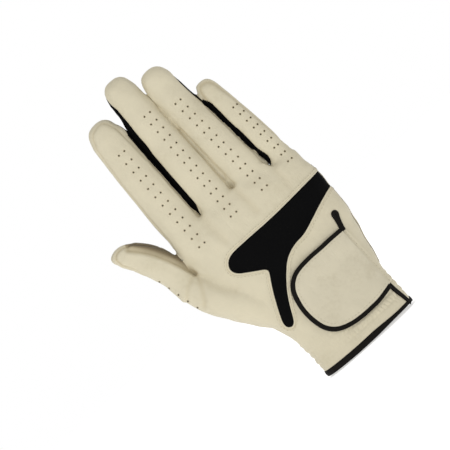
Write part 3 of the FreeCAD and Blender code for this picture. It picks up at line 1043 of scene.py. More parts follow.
@dataclass
class HandForm:
    """The filled hand: sections from cuff to crotches, digits, and the swellings of the palm and knuckles."""

    heights: tuple[float, ...] = (-12, 0, 20, 36, 48, 60, 85, 100, 112, 124, 136)
    widths: tuple[float, ...] = (77, 76, 75.5, 79.5, 85.5, 92.5, 103.4, 106, 106.6, 106, 105.2)
    centres: tuple[float, ...] = (1.4, 1.4, 1.6, 0.9, 0.2, -0.3, -1.6, -2.7, -3.6, -4.1, -4.3)
    depths: tuple[float, ...] = (46, 46, 41, 38.5, 36.5, 35.5, 33.5, 31.5, 29.2, 26.2, 19.5)
    squareness: float = 2.35
    voxel: float = 0.95 * MM
    stub: tuple[tuple[float, float, float, float], ...] = (
        (1.0, 0.0, 9.6, 8.8), (-10.0, 1.4, 11.4, 10.6), (-20.0, 3.2, 13.0, 12.3), (-42.0, 9.5, 14.2, 13.6),
        (-64.0, 15.0, 12.7, 12.6))
    bulges: tuple[Bulge, ...] = (
        Bulge(Face.PALM, -36, 66, 24, 2.6), Bulge(Face.PALM, 27, 62, 24, 2.2),
        Bulge(Face.PALM, -2, 84, 20, -1.2), Bulge(Face.PALM, -5, 119, 40, 0.9),
        Bulge(Face.BACK, -43, 121, 10, 0.9), Bulge(Face.BACK, -14, 122, 10, 1.1),
        Bulge(Face.BACK, 14, 121, 10, 1.0), Bulge(Face.BACK, 38, 116, 9, 0.8),
        Bulge(Face.BACK, -2, 70, 30, 0.8), Bulge(Face.BACK, -43, 178, 12, 0.4),
        Bulge(Face.BACK, -13, 182, 12, 0.4), Bulge(Face.BACK, 11, 178, 12, 0.4))
    waves: tuple[tuple[float, float], ...] = ((34.0, 0.22), (21.0, 0.16), (13.0, 0.10), (8.0, 0.06))
    seed: int = 7
    sink: float = 14 * MM
    thumb_sink: float = 4 * MM
    slim: float = 0.55 * MM
    crotch_band: tuple[float, float] = (112 * MM, 146 * MM)
    digits: dict[str, Digit] = field(default_factory=lambda: {
        digit.name: digit for digit in (
            Digit("index", (28.8, 26.8, 22.5), 2.6), Digit("middle", (27.9, 25.4, 21.5), 0.6),
            Digit("ring", (27.3, 24.4, 20.5), -5.0), Digit("little", (17.6, 17.2, 14.5), -7.8, 0.9),
            Digit("thumb", (19.5, 22.6, 17.2), -4.5, 0.9, 6.2, 20.0, 1.0, 0.8, 54.0))})

    def palm(self) -> Solid:
        """Skins the hand from the cuff to the crotches.

        Returns:
            The closed mesh.
        """
        turn = np.arange(HAND_POINTS) * 2 * math.pi / HAND_POINTS
        power = 2 / self.squareness
        across = np.sign(np.cos(turn)) * np.abs(np.cos(turn)) ** power
        fore = np.sign(np.sin(turn)) * np.abs(np.sin(turn)) ** power
        rings = []
        little = self.digits["little"]
        step_down = (self.digits["ring"].root[2] - little.root[2])
        corner = little.root[0] - little.half_width(np.array([0.0]))[0]
        for height in np.linspace(self.heights[0], self.heights[-1] + 0.6, 64):
            width, depth, centre = (float(through(self.heights, row, np.array([height]))[0])
                                    for row in (self.widths, self.depths, self.centres))
            x = (centre + across * width / 2) * MM
            top = self.digits["ring"].root[2] + 0.0026 - step_down * eased((x - corner) / 0.002 + 1.0)
            rings.append(np.stack([x, fore * depth / 2 * MM, np.minimum(height * MM, top)], 1))
        return tube(rings)

    def thumb_root(self) -> Solid:
        """Skins the swelling that carries the thumb out of the palm.

        Returns:
            The closed mesh.
        """
        thumb = self.digits["thumb"]
        turn = np.arange(DIGIT_POINTS) * 2 * math.pi / DIGIT_POINTS
        runs, offsets, halves, depths = (list(column)[::-1] for column in zip(*self.stub))
        rings = []
        for run in np.linspace(runs[0], runs[-1], 20):
            offset, half, depth = (float(through(runs, row, np.array([run]))[0])
                                   for row in (offsets, halves, depths))
            centre = thumb.root + (thumb.along * run + thumb.sideways * offset) * MM
            rings.append(centre + np.outer(np.cos(turn) * half * MM, thumb.sideways)
                         + np.outer(np.sin(turn) * depth * MM, (0.0, 1.0, 0.0)))
        return tube(rings)

    def skin(self) -> Skin:
        """Melts the hand and its digits into one smooth skin.

        Returns:
            The skin, closed at the wrist.
        """
        whole = self.palm().joined(self.thumb_root())
        for digit in self.digits.values():
            thumb = digit.name == "thumb"
            sink, slim = (self.thumb_sink, 0.0) if thumb else (self.sink, self.slim)
            whole = whole.joined(digit.solid(sink, slim))
        mesh = bpy.data.meshes.new("form")
        mesh.from_pydata(whole.points.tolist(), [], whole.faces.tolist())
        form = bpy.data.objects.new("form", mesh)
        bpy.context.scene.collection.objects.link(form)
        melt = form.modifiers.new("melt", "REMESH")
        melt.mode = "VOXEL"
        melt.voxel_size = self.voxel
        done = bpy.data.meshes.new_from_object(form.evaluated_get(bpy.context.evaluated_depsgraph_get()))
        done.calc_loop_triangles()
        points = np.empty(len(done.vertices) * 3)
        done.vertices.foreach_get("co", points)
        faces = np.empty(len(done.loop_triangles) * 3, int)
        done.loop_triangles.foreach_get("vertices", faces)
        bpy.data.objects.remove(form)
        for spare in (mesh, done):
            bpy.data.meshes.remove(spare)
        skin = Skin(points.reshape(-1, 3), faces.reshape(-1, 3))
        self.smooth(skin, 9)
        self.smooth(skin, 30, self.crotch_band)
        skin.refresh()
        skin.tone = np.ones(len(skin.points))
        self.swell(skin)
        return skin

    @staticmethod
    def smooth(skin: Skin, rounds: int, band: tuple[float, float] | None = None) -> None:
        """Eases the skin's small steps without shrinking it.

        Args:
            skin: The skin.
            rounds: How many times.
            band: The heights it is done between; everywhere by default.
        """
        corners = skin.faces
        start = np.concatenate([corners[:, 0], corners[:, 1], corners[:, 2]])
        end = np.concatenate([corners[:, 1], corners[:, 2], corners[:, 0]])
        count = np.bincount(start, minlength=len(skin.points))[:, None] + 1e-9
        height = skin.points[:, 2]
        amount = np.ones(len(height))
        if band is not None:
            amount = eased((height - band[0]) / 0.006) * eased((band[1] - height) / 0.008)
        for _ in range(rounds):
            for share in (0.62, -0.56 if band is None else -0.3):
                total = np.stack([np.bincount(start, skin.points[end, axis], len(skin.points))
                                  for axis in range(3)], 1)
                skin.points = skin.points + share * amount[:, None] * (total / count - skin.points)

    def swell(self, skin: Skin) -> None:
        """Adds the swellings, and the slight unevenness of filled leather.

        Args:
            skin: The skin.
        """
        x, y, z = skin.points.T / MM
        lift = np.zeros(len(x))
        for bulge in self.bulges:
            facing = eased(bulge.face.value * y / 6.0)
            lift += bulge.height * facing * bell(np.hypot(x - bulge.across, z - bulge.up), bulge.reach)
        random = np.random.default_rng(self.seed)
        for length, height in self.waves:
            for _ in range(5):
                way = random.normal(size=3)
                way *= 2 * math.pi / length / np.linalg.norm(way)
                lift += height * 0.6 * np.sin(skin.points @ way / MM + random.uniform(0, 6.3))
        steady = np.where(z > 128, 0.25 + 0.75 * np.abs(skin.normals[:, 1]) ** 2, 1.0)
        skin.points = skin.points + skin.normals * (lift * steady * MM * eased(z / 10))[:, None]
        skin.refresh()


# ---------------------------------------------------------------- seams and panels


@dataclass
class Seam:
    """A sewn outline on one face: its shape in millimetres, and how it is sunk into the leather."""

    face: Face
    outline: Points
    reach_round: float = 0.0
    groove: float = 0.45
    width: float = 0.8

    def value(self, points: Array) -> Array:
        """The distance within the outline, cut off where the seam stops short of the other face."""
        facing = self.face.value * points[:, 1] + self.reach_round * MM
        return np.minimum(inside(flow(self.outline, closed=True), points[:, 0], points[:, 2]), facing)


@dataclass
class Fourchette:
    """A strip of black knit let into one flank of a finger, in millimetres."""

    digit: str
    flank: Flank
    back: float
    palm: float
    neighbour: str
    node: str
    short: float = 6.0

    def value(self, form: HandForm, points: Array) -> Array:
        """Measures from points to the edge of the strip.

        Args:
            form: The hand's form.
            points: The points.

        Returns:
            The distance, positive within the strip.
        """
        digit = form.digits[self.digit]
        foot, top = digit.root[2] / MM, (digit.root[2] + digit.length) / MM - self.short
        x, y, z = points.T / MM
        middle = (digit.root[0] + digit.middle(points[:, 2] - digit.root[2])) / MM
        curl = digit.curl * np.clip((z - foot) / (digit.length / MM), 0, 1) ** 2
        close = eased((top - z) / 16)
        low = curl - self.back * eased((z - foot + 3) / 17) * close
        high = curl + 0.6 + self.palm * eased((z - foot - 3) / 8) * close
        flank = self.flank.value * (x - middle) - 3.0
        return np.minimum.reduce([flank, y - low, high - y, z - foot, top - z]) * MM


@dataclass
class Perforations:
    """Two rows of punched holes down a finger, in millimetres."""

    digit: str
    top: tuple[float, float]
    bottom: tuple[float, float]
    spread: float
    count: int

    def centres(self) -> Array:
        """Places the holes.

        Returns:
            Across and up for every hole, in metres.
        """
        share = np.linspace(0, 1, self.count)[:, None]
        line = np.array(self.top) * (1 - share) + np.array(self.bottom) * share
        return np.vstack([line - (self.spread / 2, 0), line + (self.spread / 2, 0)]) * MM


# The panels' outlines, across and up in millimetres; a point given twice is a sharp corner.
INSERT = ((62, 107), (44, 106.4), (10, 104.6), (-14, 104.6), (-29, 104.4), (-35, 102.4), (-38.8, 97.2),
          (-37.2, 91.6), (-31, 87), (-19.2, 79.6), (-19.2, 79.6), (-26, 68.5), (-32, 56.5), (-36, 46.8),
          (-35.8, 41.8), (-32, 39.6), (-28.6, 42.4), (-24.5, 50.5), (-18.5, 60.5), (-11, 69.5),
          (-3.5, 76.2), (5, 79.6), (15, 80.8), (26, 84.6), (38, 89), (50, 92.4), (62, 94))
THENAR = ((-53, 115), (-34, 111), (-22, 104.5), (-13.5, 96.5), (-6, 88), (-2, 80), (1.6, 65), (0.6, 50),
          (-7, 37.5), (-20, 31), (-37, 29.5), (-70, 27), (-70, 113))
GUSSET = ((-57, 114), (-45, 105.8), (-34, 95.5), (-27, 88.6), (-27, 88.6), (-28, 99), (-34, 108),
          (-45, 112.6))
HEEL = ((62, 107), (24, 107), (16.5, 103.5), (12.5, 96), (12, 88), (14.5, 78), (20, 64.5), (25.5, 52),
        (31, 41.5), (38, 34), (62, 32))
DIGIT_PANELS = {
    "index": ("index_finger_shell",), "middle": ("middle_back", "middle_palm"),
    "ring": ("ring_back", "ring_palm"), "little": ("little_finger_shell",),
    "thumb": ("thumb_back", "thumb_palm")}
NEIGHBOURS = (("index", "middle"), ("middle", "ring"), ("ring", "little"))
# the thumb's fold line; painted shade is laid on the web beyond it
WEB_FOLD = ((-57, 108), (-62, 124), (-70, 140), (-80, 153))


@dataclass
class Glove:
    """The leather glove itself: its form, seams, panels and fingers."""

    finishes: Finishes
    form: HandForm = field(default_factory=HandForm)
    leather: float = 1.0 * MM
    rise: float = 0.55 * MM
    side_gap: float = 0.07 * MM
    hole: float = 0.54 * MM
    bend: float = 26 * MM
    hand_edge: float = -57.9 * MM
    web_side: float = -58 * MM
    thumb_zone: float = -50 * MM
    gather_top: float = 31 * MM
    gather_rows: tuple[float, ...] = (8.5, 13.7, 18.9, 24.1)
    knit: float = 0.7 * MM
    insert: Seam = field(default_factory=lambda: Seam(Face.BACK, INSERT, 3.0, 0.30, 0.7))
    thenar: Seam = field(default_factory=lambda: Seam(Face.PALM, THENAR, 0.0, 0.5, 0.8))
    gusset: Seam = field(default_factory=lambda: Seam(Face.PALM, GUSSET, 0.0, 0.5, 0.8))
    heel: Seam = field(default_factory=lambda: Seam(Face.PALM, HEEL, -1.0, 0.25, 0.8))
    fourchettes: tuple[Fourchette, ...] = (
        Fourchette("index", Flank.LITTLE_SIDE, 3.8, 6.2, "middle", "index_fourchette"),
        Fourchette("middle", Flank.THUMB_SIDE, 5.4, 6.2, "index", "middle_fourchette_thumb_side", 2.5),
        Fourchette("middle", Flank.LITTLE_SIDE, -0.6, 6.6, "ring", "middle_fourchette_little_side"),
        Fourchette("ring", Flank.THUMB_SIDE, 1.6, 6.6, "middle", "ring_fourchette_thumb_side", 3.5),
        Fourchette("ring", Flank.LITTLE_SIDE, 3.0, 6.2, "little", "ring_fourchette_little_side"),
        Fourchette("little", Flank.THUMB_SIDE, 5.2, 6.0, "ring", "little_fourchette", 2.5))
    perforations: tuple[Perforations, ...] = (
        Perforations("index", (-39.9, 203), (-40.9, 121.5), 4.8, 12),
        Perforations("middle", (-9.6, 211), (-11.4, 122.6), 4.9, 14),
        Perforations("ring", (11.4, 203.5), (15.8, 122), 4.6, 13),
        Perforations("little", (38.2, 176), (41.2, 124.5), 3.4, 9),
        Perforations("thumb", (-79, 122), (-71.5, 92), 0.0, 5))
    creases: tuple[Crease, ...] = (
        Crease(Face.BACK, ((-57, 110), (-62, 124), (-70, 140), (-80, 152)), 1.1, 1.5, 0.25),
        Crease(Face.BACK, ((-67, 90), (-61, 98), (-57, 107)), 0.6, 1.6),
        Crease(Face.BACK, ((-74, 100), (-66, 107), (-58, 110)), 0.35, 1.4),
        Crease(Face.BACK, ((-28.2, 134), (-28, 124), (-27, 113)), 0.5, 2.6, 0.03),
        Crease(Face.BACK, ((0.8, 137), (1.4, 126), (2, 114)), 0.6, 2.4, 0.05),
        Crease(Face.BACK, ((29.2, 126), (29.6, 118), (29, 111)), 0.45, 2.2, 0.03),
        Crease(Face.BACK, ((-44, 84), (-52, 94), (-56, 104)), 0.3, 2.4, 0.02),
        Crease(Face.BACK, ((-40, 38), (-46, 52), (-56, 68)), 0.25, 3.0, 0.02),
        Crease(Face.PALM, ((46, 124), (32, 121), (16, 122)), 0.55, 1.5),
        Crease(Face.PALM, ((-54, 130), (-44, 126), (-33, 128)), 0.4, 1.4),
        Crease(Face.PALM, ((-24, 130), (-14, 127), (-4, 130)), 0.35, 1.4),
        Crease(Face.PALM, ((6, 129), (15, 127), (25, 128)), 0.35, 1.3),
        Crease(Face.PALM, ((-55, 171), (-43, 169), (-33, 171)), 0.35, 1.3),
        Crease(Face.PALM, ((-25, 175), (-13, 173), (-3, 175)), 0.35, 1.3),
        Crease(Face.PALM, ((2, 171), (12, 169), (23, 171)), 0.35, 1.3),
        Crease(Face.PALM, ((-84, 132), (-76, 130), (-68, 126)), 0.4, 1.4),
        Crease(Face.PALM, ((-8, 96), (10, 88), (24, 72)), 0.3, 2.2, 0.02))
    skin: Skin = field(init=False)
    last: Last = field(init=False)
    draped: Last = field(init=False)
    bodies: dict[str, Array] = field(init=False)
    strips: dict[str, Array] = field(init=False)

    def build(self) -> None:
        """Forms the skin, cuts its seams and presses in its folds."""
        self.skin = self.form.skin()
        self.last = Last.of(self.skin)
        self.cut_seams()
        self.press_folds()
        self.close_gaps()
        self.punch()
        self.draped = Last.of(self.skin)
        self.sort_faces()

    def between(self, left: str, right: str, height: Array) -> Array:
        """The line midway between two neighbouring fingers."""
        edge = self.form.digits[left].edge(height, Flank.LITTLE_SIDE)
        return (edge + self.form.digits[right].edge(height, Flank.THUMB_SIDE)) / 2

    def thumb_side(self, points: Array) -> tuple[Array, Array]:
        """Measures from points to the ends of the thumb.

        Args:
            points: The points.

        Returns:
            How far they lie beyond its root, and how far clear of the hand's own edge.
        """
        run, _ = self.form.digits["thumb"].local(points)
        return run, self.hand_edge - points[:, 0]

    def cut_seams(self) -> None:
        """Opens the wrist and cuts every seam line into the skin."""
        skin, digits = self.skin, self.form.digits
        skin.cut(skin.points[:, 2])
        skin.keep(skin.middles()[:, 2] > 0)
        for height in (digits["index"].root[2], digits["little"].root[2]):
            skin.cut(skin.points[:, 2] - height)
        for left, right in NEIGHBOURS:
            away = skin.points[:, 0] - self.between(left, right, skin.points[:, 2])
            skin.cut(np.where(skin.points[:, 2] > 0.12, away, 1.0))
        for part in (0, 1):
            value = self.thumb_side(skin.points)[part]
            skin.cut(np.where(skin.points[:, 0] < self.thumb_zone, value, 1.0))
        skin.cut(skin.points[:, 1])
        for seam in (self.insert, self.thenar, self.gusset, self.heel):
            skin.cut(seam.value(skin.points))
        for strip in self.fourchettes:
            skin.cut(strip.value(self.form, skin.points))
        skin.cut(self.slit(skin.points))

    def slit(self, points: Array) -> Array:
        """Measures from points to the edge of the wrist slit.

        Args:
            points: The points.

        Returns:
            The distance, positive within the slit and its keyhole.
        """
        across, up = points[:, 0], points[:, 2]
        line = Closure.slit_line()
        gap = 0.45 * MM - distance_to(line, across, up)
        keyhole = 1.6 * MM - np.hypot(across - line[-1, 0], up - line[-1, 1])
        return np.minimum(np.maximum(gap, keyhole), -points[:, 1])

    def press_folds(self) -> None:
        """Sinks the seams, presses in the creases, gathers the cuff over its elastic, and paints shade into
        the seams, creases and the thumb's web.
        """
        skin = self.skin
        skin.refine(skin.points[:, 2] < self.gather_top)
        points = skin.points
        lift, shade = np.zeros(len(points)), np.zeros(len(points))
        self.sink_seams(points, lift, shade)
        self.press_creases(points, lift, shade)
        self.fold_web(points, lift, shade)
        lift += self.gathers(points)
        # the painted shade is stored as the skin's tone, 1 where none is painted
        skin.tone = np.clip(1.0 - shade, 0.0, 1.0)
        skin.points = points + skin.normals * (lift * MM)[:, None]
        skin.refresh()

    def sink_seams(self, points: Array, lift: Array, shade: Array) -> None:
        """Sinks the seams of the panels and of the knit strips, and paints shade into their grooves.

        Args:
            points: The skin's points.
            lift: Their height in millimetres, which is changed.
            shade: How dark they are, which is changed.
        """
        for seam in (self.insert, self.thenar, self.gusset, self.heel):
            off = seam.value(points) / MM
            lift -= seam.groove * bell(off, seam.width)
            # painted shade along each panel seam's groove
            shade += 0.16 * bell(off, 0.55)
        lift -= 0.35 * eased(self.insert.value(points) / MM / 1.5)
        lift += 0.40 * bell(self.insert.value(points) / MM + 1.3, 0.9)
        for strip in self.fourchettes:
            off = strip.value(self.form, points) / MM
            lift -= 0.30 * bell(off, 0.7)
            lift += 0.12 * bell(off + 1.4, 0.9)
            # painted shade along each knit strip's seam groove
            shade += 0.10 * bell(off, 0.5)

    def press_creases(self, points: Array, lift: Array, shade: Array) -> None:
        """Presses in the creases, and paints shade into their hollows.

        Args:
            points: The skin's points.
            lift: Their height in millimetres, which is changed.
            shade: How dark they are, which is changed.
        """
        y = points[:, 1] / MM
        for crease in self.creases:
            facing = eased(crease.face.value * y / 3.0)
            away = distance_to(flow(crease.line), points[:, 0], points[:, 2]) / MM
            dip = bell(away, crease.width)
            lift += facing * crease.depth * (0.45 * bell(away - 2 * crease.width, crease.width) - dip)
            # painted shade in the crease's hollow
            shade += facing * crease.tone * dip

    def fold_web(self, points: Array, lift: Array, shade: Array) -> None:
        """Sinks the thumb's side seam, and paints shade on the web behind its fold, where the thumb's palm
        side turns away.

        Args:
            points: The skin's points.
            lift: Their height in millimetres, which is changed.
            shade: How dark they are, which is changed.
        """
        y, z = points[:, 1] / MM, points[:, 2] / MM
        run, clear = self.thumb_side(points)
        seam_side = (clear > 0) & (run > 1 * MM)
        lift -= np.where(seam_side, 0.4 * bell(y, 0.8), 0.0)
        far = (points[:, 0] < self.web_side) & (y < 2.0)
        line = flow(WEB_FOLD)
        fold = distance_to(line, points[:, 0], points[:, 2]) / MM
        inner = across_of(line, points)
        # painted shade: the web beyond the fold line, up to 0.62 dark
        shade += np.where(far & (inner > 0) & (z > WEB_FOLD[0][1]), 0.62 * eased(fold / 3.2), 0.0)

    def gathers(self, points: Array) -> Array:
        """Works out the smocked puckers over the wrist elastic.

        Args:
            points: The points.

        Returns:
            Their height at each point, in millimetres.
        """
        x, y, z = points.T / MM
        round_hand = np.arctan2(y * 1.7, x) * 30.0
        band = eased((z - 4.5) / 4) * eased((29 - z) / 4)
        palm = eased((y + 4) / 6)
        deep = band * (0.30 + 0.70 * np.maximum(palm, eased((x + 18) / 14) * 0.75))
        waver = 1.3 * np.sin(z * 0.55 + round_hand * 0.21) + 0.8 * np.sin(round_hand * 0.37)
        puckers = 0.34 * np.sin(2 * math.pi * round_hand / 2.7 + waver)
        puckers = puckers * (0.6 + 0.4 * np.cos(2 * math.pi * z / 5.2))
        rows = sum(0.42 * bell(z - row, 0.9) for row in self.gather_rows)
        return deep * (puckers - rows + 0.2)

    def close_gaps(self) -> None:
        """Puffs each black strip out until it meets the strip on the neighbouring finger."""
        skin = self.skin
        for strip in self.fourchettes:
            x, y, z = skin.points.T
            pair = (strip.digit, strip.neighbour)
            left, right = pair if strip.flank is Flank.LITTLE_SIDE else pair[::-1]
            line = self.between(left, right, z)
            top = min(self.form.digits[name].root[2] + self.form.digits[name].length for name in pair)
            foot = self.form.digits[strip.digit].root[2]
            near = eased(1.9 * (1 - np.abs(y - 2.4 * MM) / (6.0 * MM)))
            near = near * eased((top - 0.007 - z) / 0.012) * eased((z - foot) / 0.002)
            off = strip.flank.value * (line - x)
            mine = (off > -0.2 * MM) & (off < 4.5 * MM) & (z > foot)
            push = np.clip(off - self.side_gap, -0.4 * MM, 2.6 * MM)
            skin.points[:, 0] += strip.flank.value * np.where(mine, push * near, 0.0)
        skin.refresh()

    def punch(self) -> None:
        """Punches the rows of holes through the backs of the fingers, with painted shade round each hole's
        rim.
        """
        skin = self.skin
        centres = np.vstack([rows.centres() for rows in self.perforations])

        def nearest(points: Array) -> Array:
            """Measures from points to the nearest hole.

            Args:
                points: The points.

            Returns:
                The distance, which is large on the palm.
            """
            best = np.full(len(points), 1.0)
            for across, up in centres:
                best = np.minimum(best, np.hypot(points[:, 0] - across, points[:, 2] - up))
            return np.where(points[:, 1] < -0.001, best, 1.0)

        for reach in (2.6, 1.8):
            skin.refine(nearest(skin.points) < reach * MM)
        away = nearest(skin.points)
        skin.points -= skin.normals * (0.22 * MM * bell(away, 1.0 * MM))[:, None]
        # painted shade round each hole's rim, standing in for its dark inside
        skin.tone = np.clip(skin.tone - 0.35 * bell(np.maximum(away - self.hole, 0.0), 0.28 * MM), 0, 1)
        skin.cut(np.where(away < 0.5, self.hole - away, -1.0))
        skin.keep(nearest(skin.middles()) > self.hole)

    def sort_faces(self) -> None:
        """Works out which body and which panel each face belongs to."""
        skin, digits = self.skin, self.form.digits
        middles = skin.middles()
        x, z = middles[:, 0], middles[:, 2]
        run, clear = self.thumb_side(middles)
        splits = [self.between(left, right, z) for left, right in NEIGHBOURS]
        column = sum((x > split).astype(int) for split in splits)
        thumb = (run > 0) & (clear > 0) & (x < self.thumb_zone)
        bodies = {"thumb": thumb}
        for place, name in enumerate(("index", "middle", "ring", "little")):
            bodies[name] = (column == place) & (z > digits[name].root[2]) & ~thumb
        bodies["hand"] = ~np.any(list(bodies.values()), axis=0)
        self.bodies = bodies
        self.strips = {strip.node: bodies[strip.digit] & (strip.value(self.form, middles) > 0)
                       for strip in self.fourchettes}

    def add(self, name: str, chosen: Array, finish: bpy.types.Material, node: str, slot: str,
            body: str = "hand", outer: float = 0.0, inner: float | None = None) -> bpy.types.Object:
        """Lifts a panel off the skin and hangs it on its body.

        Args:
            name: The piece's name.
            chosen: The faces it is made of.
            finish: Its material.
            node: The CAD node it stands for.
            slot: The record's material slot; not used.
            body: The body it moves with, where that is the hand or the tab.
            outer: How far its outer side stands off the skin.
            inner: How far its inner side does; the leather's thickness by default.

        Returns:
            The piece.
        """
        plate = self.skin.plate(chosen, outer, -self.leather if inner is None else inner)
        piece = make_piece(name, plate, finish)
        self.hang(piece, body)
        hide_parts(node)
        log.info("%s: %d faces", name, len(plate.faces))
        return piece

    def hang(self, piece: bpy.types.Object, body: str) -> None:
        """Hangs a piece on the hand or the tab; a digit's piece is only baked in place and hangs on nothing.

        Args:
            piece: The piece.
            body: The body that it moves with, where that is the hand or the tab.
        """
        if body in self.form.digits:
            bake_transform(piece)
        else:
            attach(piece, body)

    def panels(self) -> None:
        """Makes every leather panel and every strip of knit."""
        middles = self.skin.middles()
        back = middles[:, 1] < 0
        hand = self.bodies["hand"]
        insert = hand & (self.insert.value(middles) > 0)
        gusset = hand & (self.gusset.value(middles) > 0)
        thenar = hand & (self.thenar.value(middles) > 0) & ~gusset
        rest = hand & ~insert & ~gusset & ~thenar
        heel = hand & (self.heel.value(middles) > 0)
        self.add("back_panel_leather", rest & back, self.finishes.leather, "back_panel", "cream_leather")
        self.add("palm_panel_leather", rest & ~back, self.finishes.leather, "palm_panel", "cream_leather")
        self.add("thenar_panel_leather", thenar, self.finishes.leather, "thenar_panel", "cream_leather")
        self.add("thumb_gusset_leather", gusset, self.finishes.leather, "thumb_gusset", "cream_leather")
        patch = self.add("heel_patch_leather", heel, self.finishes.leather, "heel_patch", "cream_leather",
                         outer=self.rise, inner=0.03 * MM)
        self.declare(heel)
        cloth = self.add("knuckle_insert_cloth", insert, self.finishes.stretch, "knuckle_insert",
                         "black_stretch_fabric", inner=-self.knit)
        self.declare(insert)
        black = np.any(list(self.strips.values()), axis=0)
        for name, halves in DIGIT_PANELS.items():
            chosen = self.bodies[name] & ~black
            for node in halves:
                part = chosen if len(halves) == 1 else chosen & (back if node.endswith("_back") else ~back)
                self.add(f"{node}_leather", part, self.finishes.leather, node, "cream_leather", name)
        for strip in self.fourchettes:
            self.add(f"{strip.node}_cloth", self.strips[strip.node], self.finishes.mesh_knit, strip.node,
                     "black_mesh_knit", strip.digit, inner=-self.knit)
        self.roll_insert_edge(insert)

    def declare(self, chosen: Array) -> None:
        """Works out the area of a panel's faces, which is not kept.

        Args:
            chosen: The faces it is made of.
        """
        area = self.skin.area(chosen)

    def roll_insert_edge(self, insert: Array) -> None:
        """Rolls the raised leather edge round the knuckle insert.

        Args:
            insert: The insert's faces.
        """
        loop = self.skin.borders(insert)[0]
        path = relaxed(resampled(self.skin.points[loop], 1.1 * MM, closed=True), 6)
        path, normals = self.draped.nearest(path, 0.10 * MM)
        roll = swept(path, unit(relaxed(normals, 5)), oval(1.25 * MM, 0.95 * MM, 0.0, 2.1, 10), closed=True)
        piece = make_piece("knuckle_insert_rolled_edge", roll, self.finishes.leather)
        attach(piece, "hand")


def across_of(line: Array, points: Array) -> Array:
    """How far points lie to the little-finger side of a rising line, by height."""
    order = np.argsort(line[:, 1])
    return points[:, 0] - np.interp(points[:, 2], line[order, 1], line[order, 0])


# ---------------------------------------------------------------- trims, cuff and closure


def laid_plate(last: Last, outline: Array, face: Face, low: float, high: float, rings: int = 16,
               soft: float = 0.25 * MM) -> Solid:
    """Lays a flat shape on the hand as a thin plate.

    Args:
        last: The surface that it lies on.
        outline: Its closed outline, across and up, in metres.
        face: The face it lies on.
        low: How far its underside stands off.
        high: How far its top does.
        rings: Rows of faces from the middle to the edge.
        soft: How much its edge is rounded over.

    Returns:
        The closed plate.
    """
    middle = outline.mean(axis=0)
    size = len(outline)
    shares = np.sin(np.linspace(0.04, 1, rings) * math.pi / 2)
    grid = np.vstack([middle + (outline - middle) * share for share in shares])
    points, normals = last.under(grid, face, 0.0)
    normals = normals.reshape(rings, size, 3)
    for _ in range(3):
        normals = (normals + np.roll(normals, 1, 1) + np.roll(normals, -1, 1)) / 3
    normals = unit(normals.reshape(-1, 3))
    fall = np.repeat(soft * np.clip((shares - 0.93) / 0.07, 0, 1) ** 2, size)[:, None]
    top = (points + normals * (high - fall)).reshape(rings, size, 3)
    under = (points + normals * low).reshape(rings, size, 3)
    return tube(list(top) + list(under[::-1]))


@dataclass
class Cuff:
    """The wrist: its black hem binding and the elastic sewn inside it."""

    glove: Glove
    elastic_foot: float = 8 * MM
    elastic_top: float = 28 * MM
    tall: float = 4.6 * MM
    thick: float = 2.3 * MM

    def build(self) -> None:
        """Makes the binding and both lengths of elastic."""
        glove = self.glove
        turn = np.arange(220) * 2 * math.pi / 220
        places, ways = [], []
        for angle in turn:
            way = Vector((math.cos(angle), math.sin(angle), 0.0))
            outside = way * 0.12 + Vector((0.001, 0.0, 0.0012))
            place, normal, _, _ = glove.last.tree.ray_cast(outside, -way)
            places.append(place)
            ways.append((normal[0], normal[1], 0.0))
        path = np.array(places, float)
        normals = unit(relaxed(np.array(ways, float), 6))
        path = relaxed(path, 3)
        x, y = path[:, 0] / MM, path[:, 1]
        thin = 1.0 - 0.42 * eased((x - 2) / 26) * eased(-y / 0.008)
        path[:, 2] = (0.9 - 0.5 * bell(x + 10, 22.0)) * MM - (1 - thin) * 0.9 * MM
        profile = oval(self.tall, self.thick, -0.45 * MM, 2.8)
        rings = [p + np.outer(profile[:, 1], n) + np.outer(profile[:, 0] * t, (0.0, 0.0, 1.0))
                 for p, n, t in zip(path, normals, thin)]
        binding = make_piece("hem_binding_tape", tube(rings, closed=True), glove.finishes.tape)
        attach(binding, "hand")
        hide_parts("hem_binding")
        middles = glove.skin.middles()
        band = (middles[:, 2] > self.elastic_foot) & (middles[:, 2] < self.elastic_top) & glove.bodies["hand"]
        for name, chosen in (("wrist_elastic_back", band & (middles[:, 1] < -0.002)),
                             ("wrist_elastic_palm", band & (middles[:, 1] > 0.002))):
            glove.add(f"{name}_webbing", chosen, glove.finishes.elastic, name, "elastic_webbing",
                      outer=-1.05 * MM, inner=-1.8 * MM)


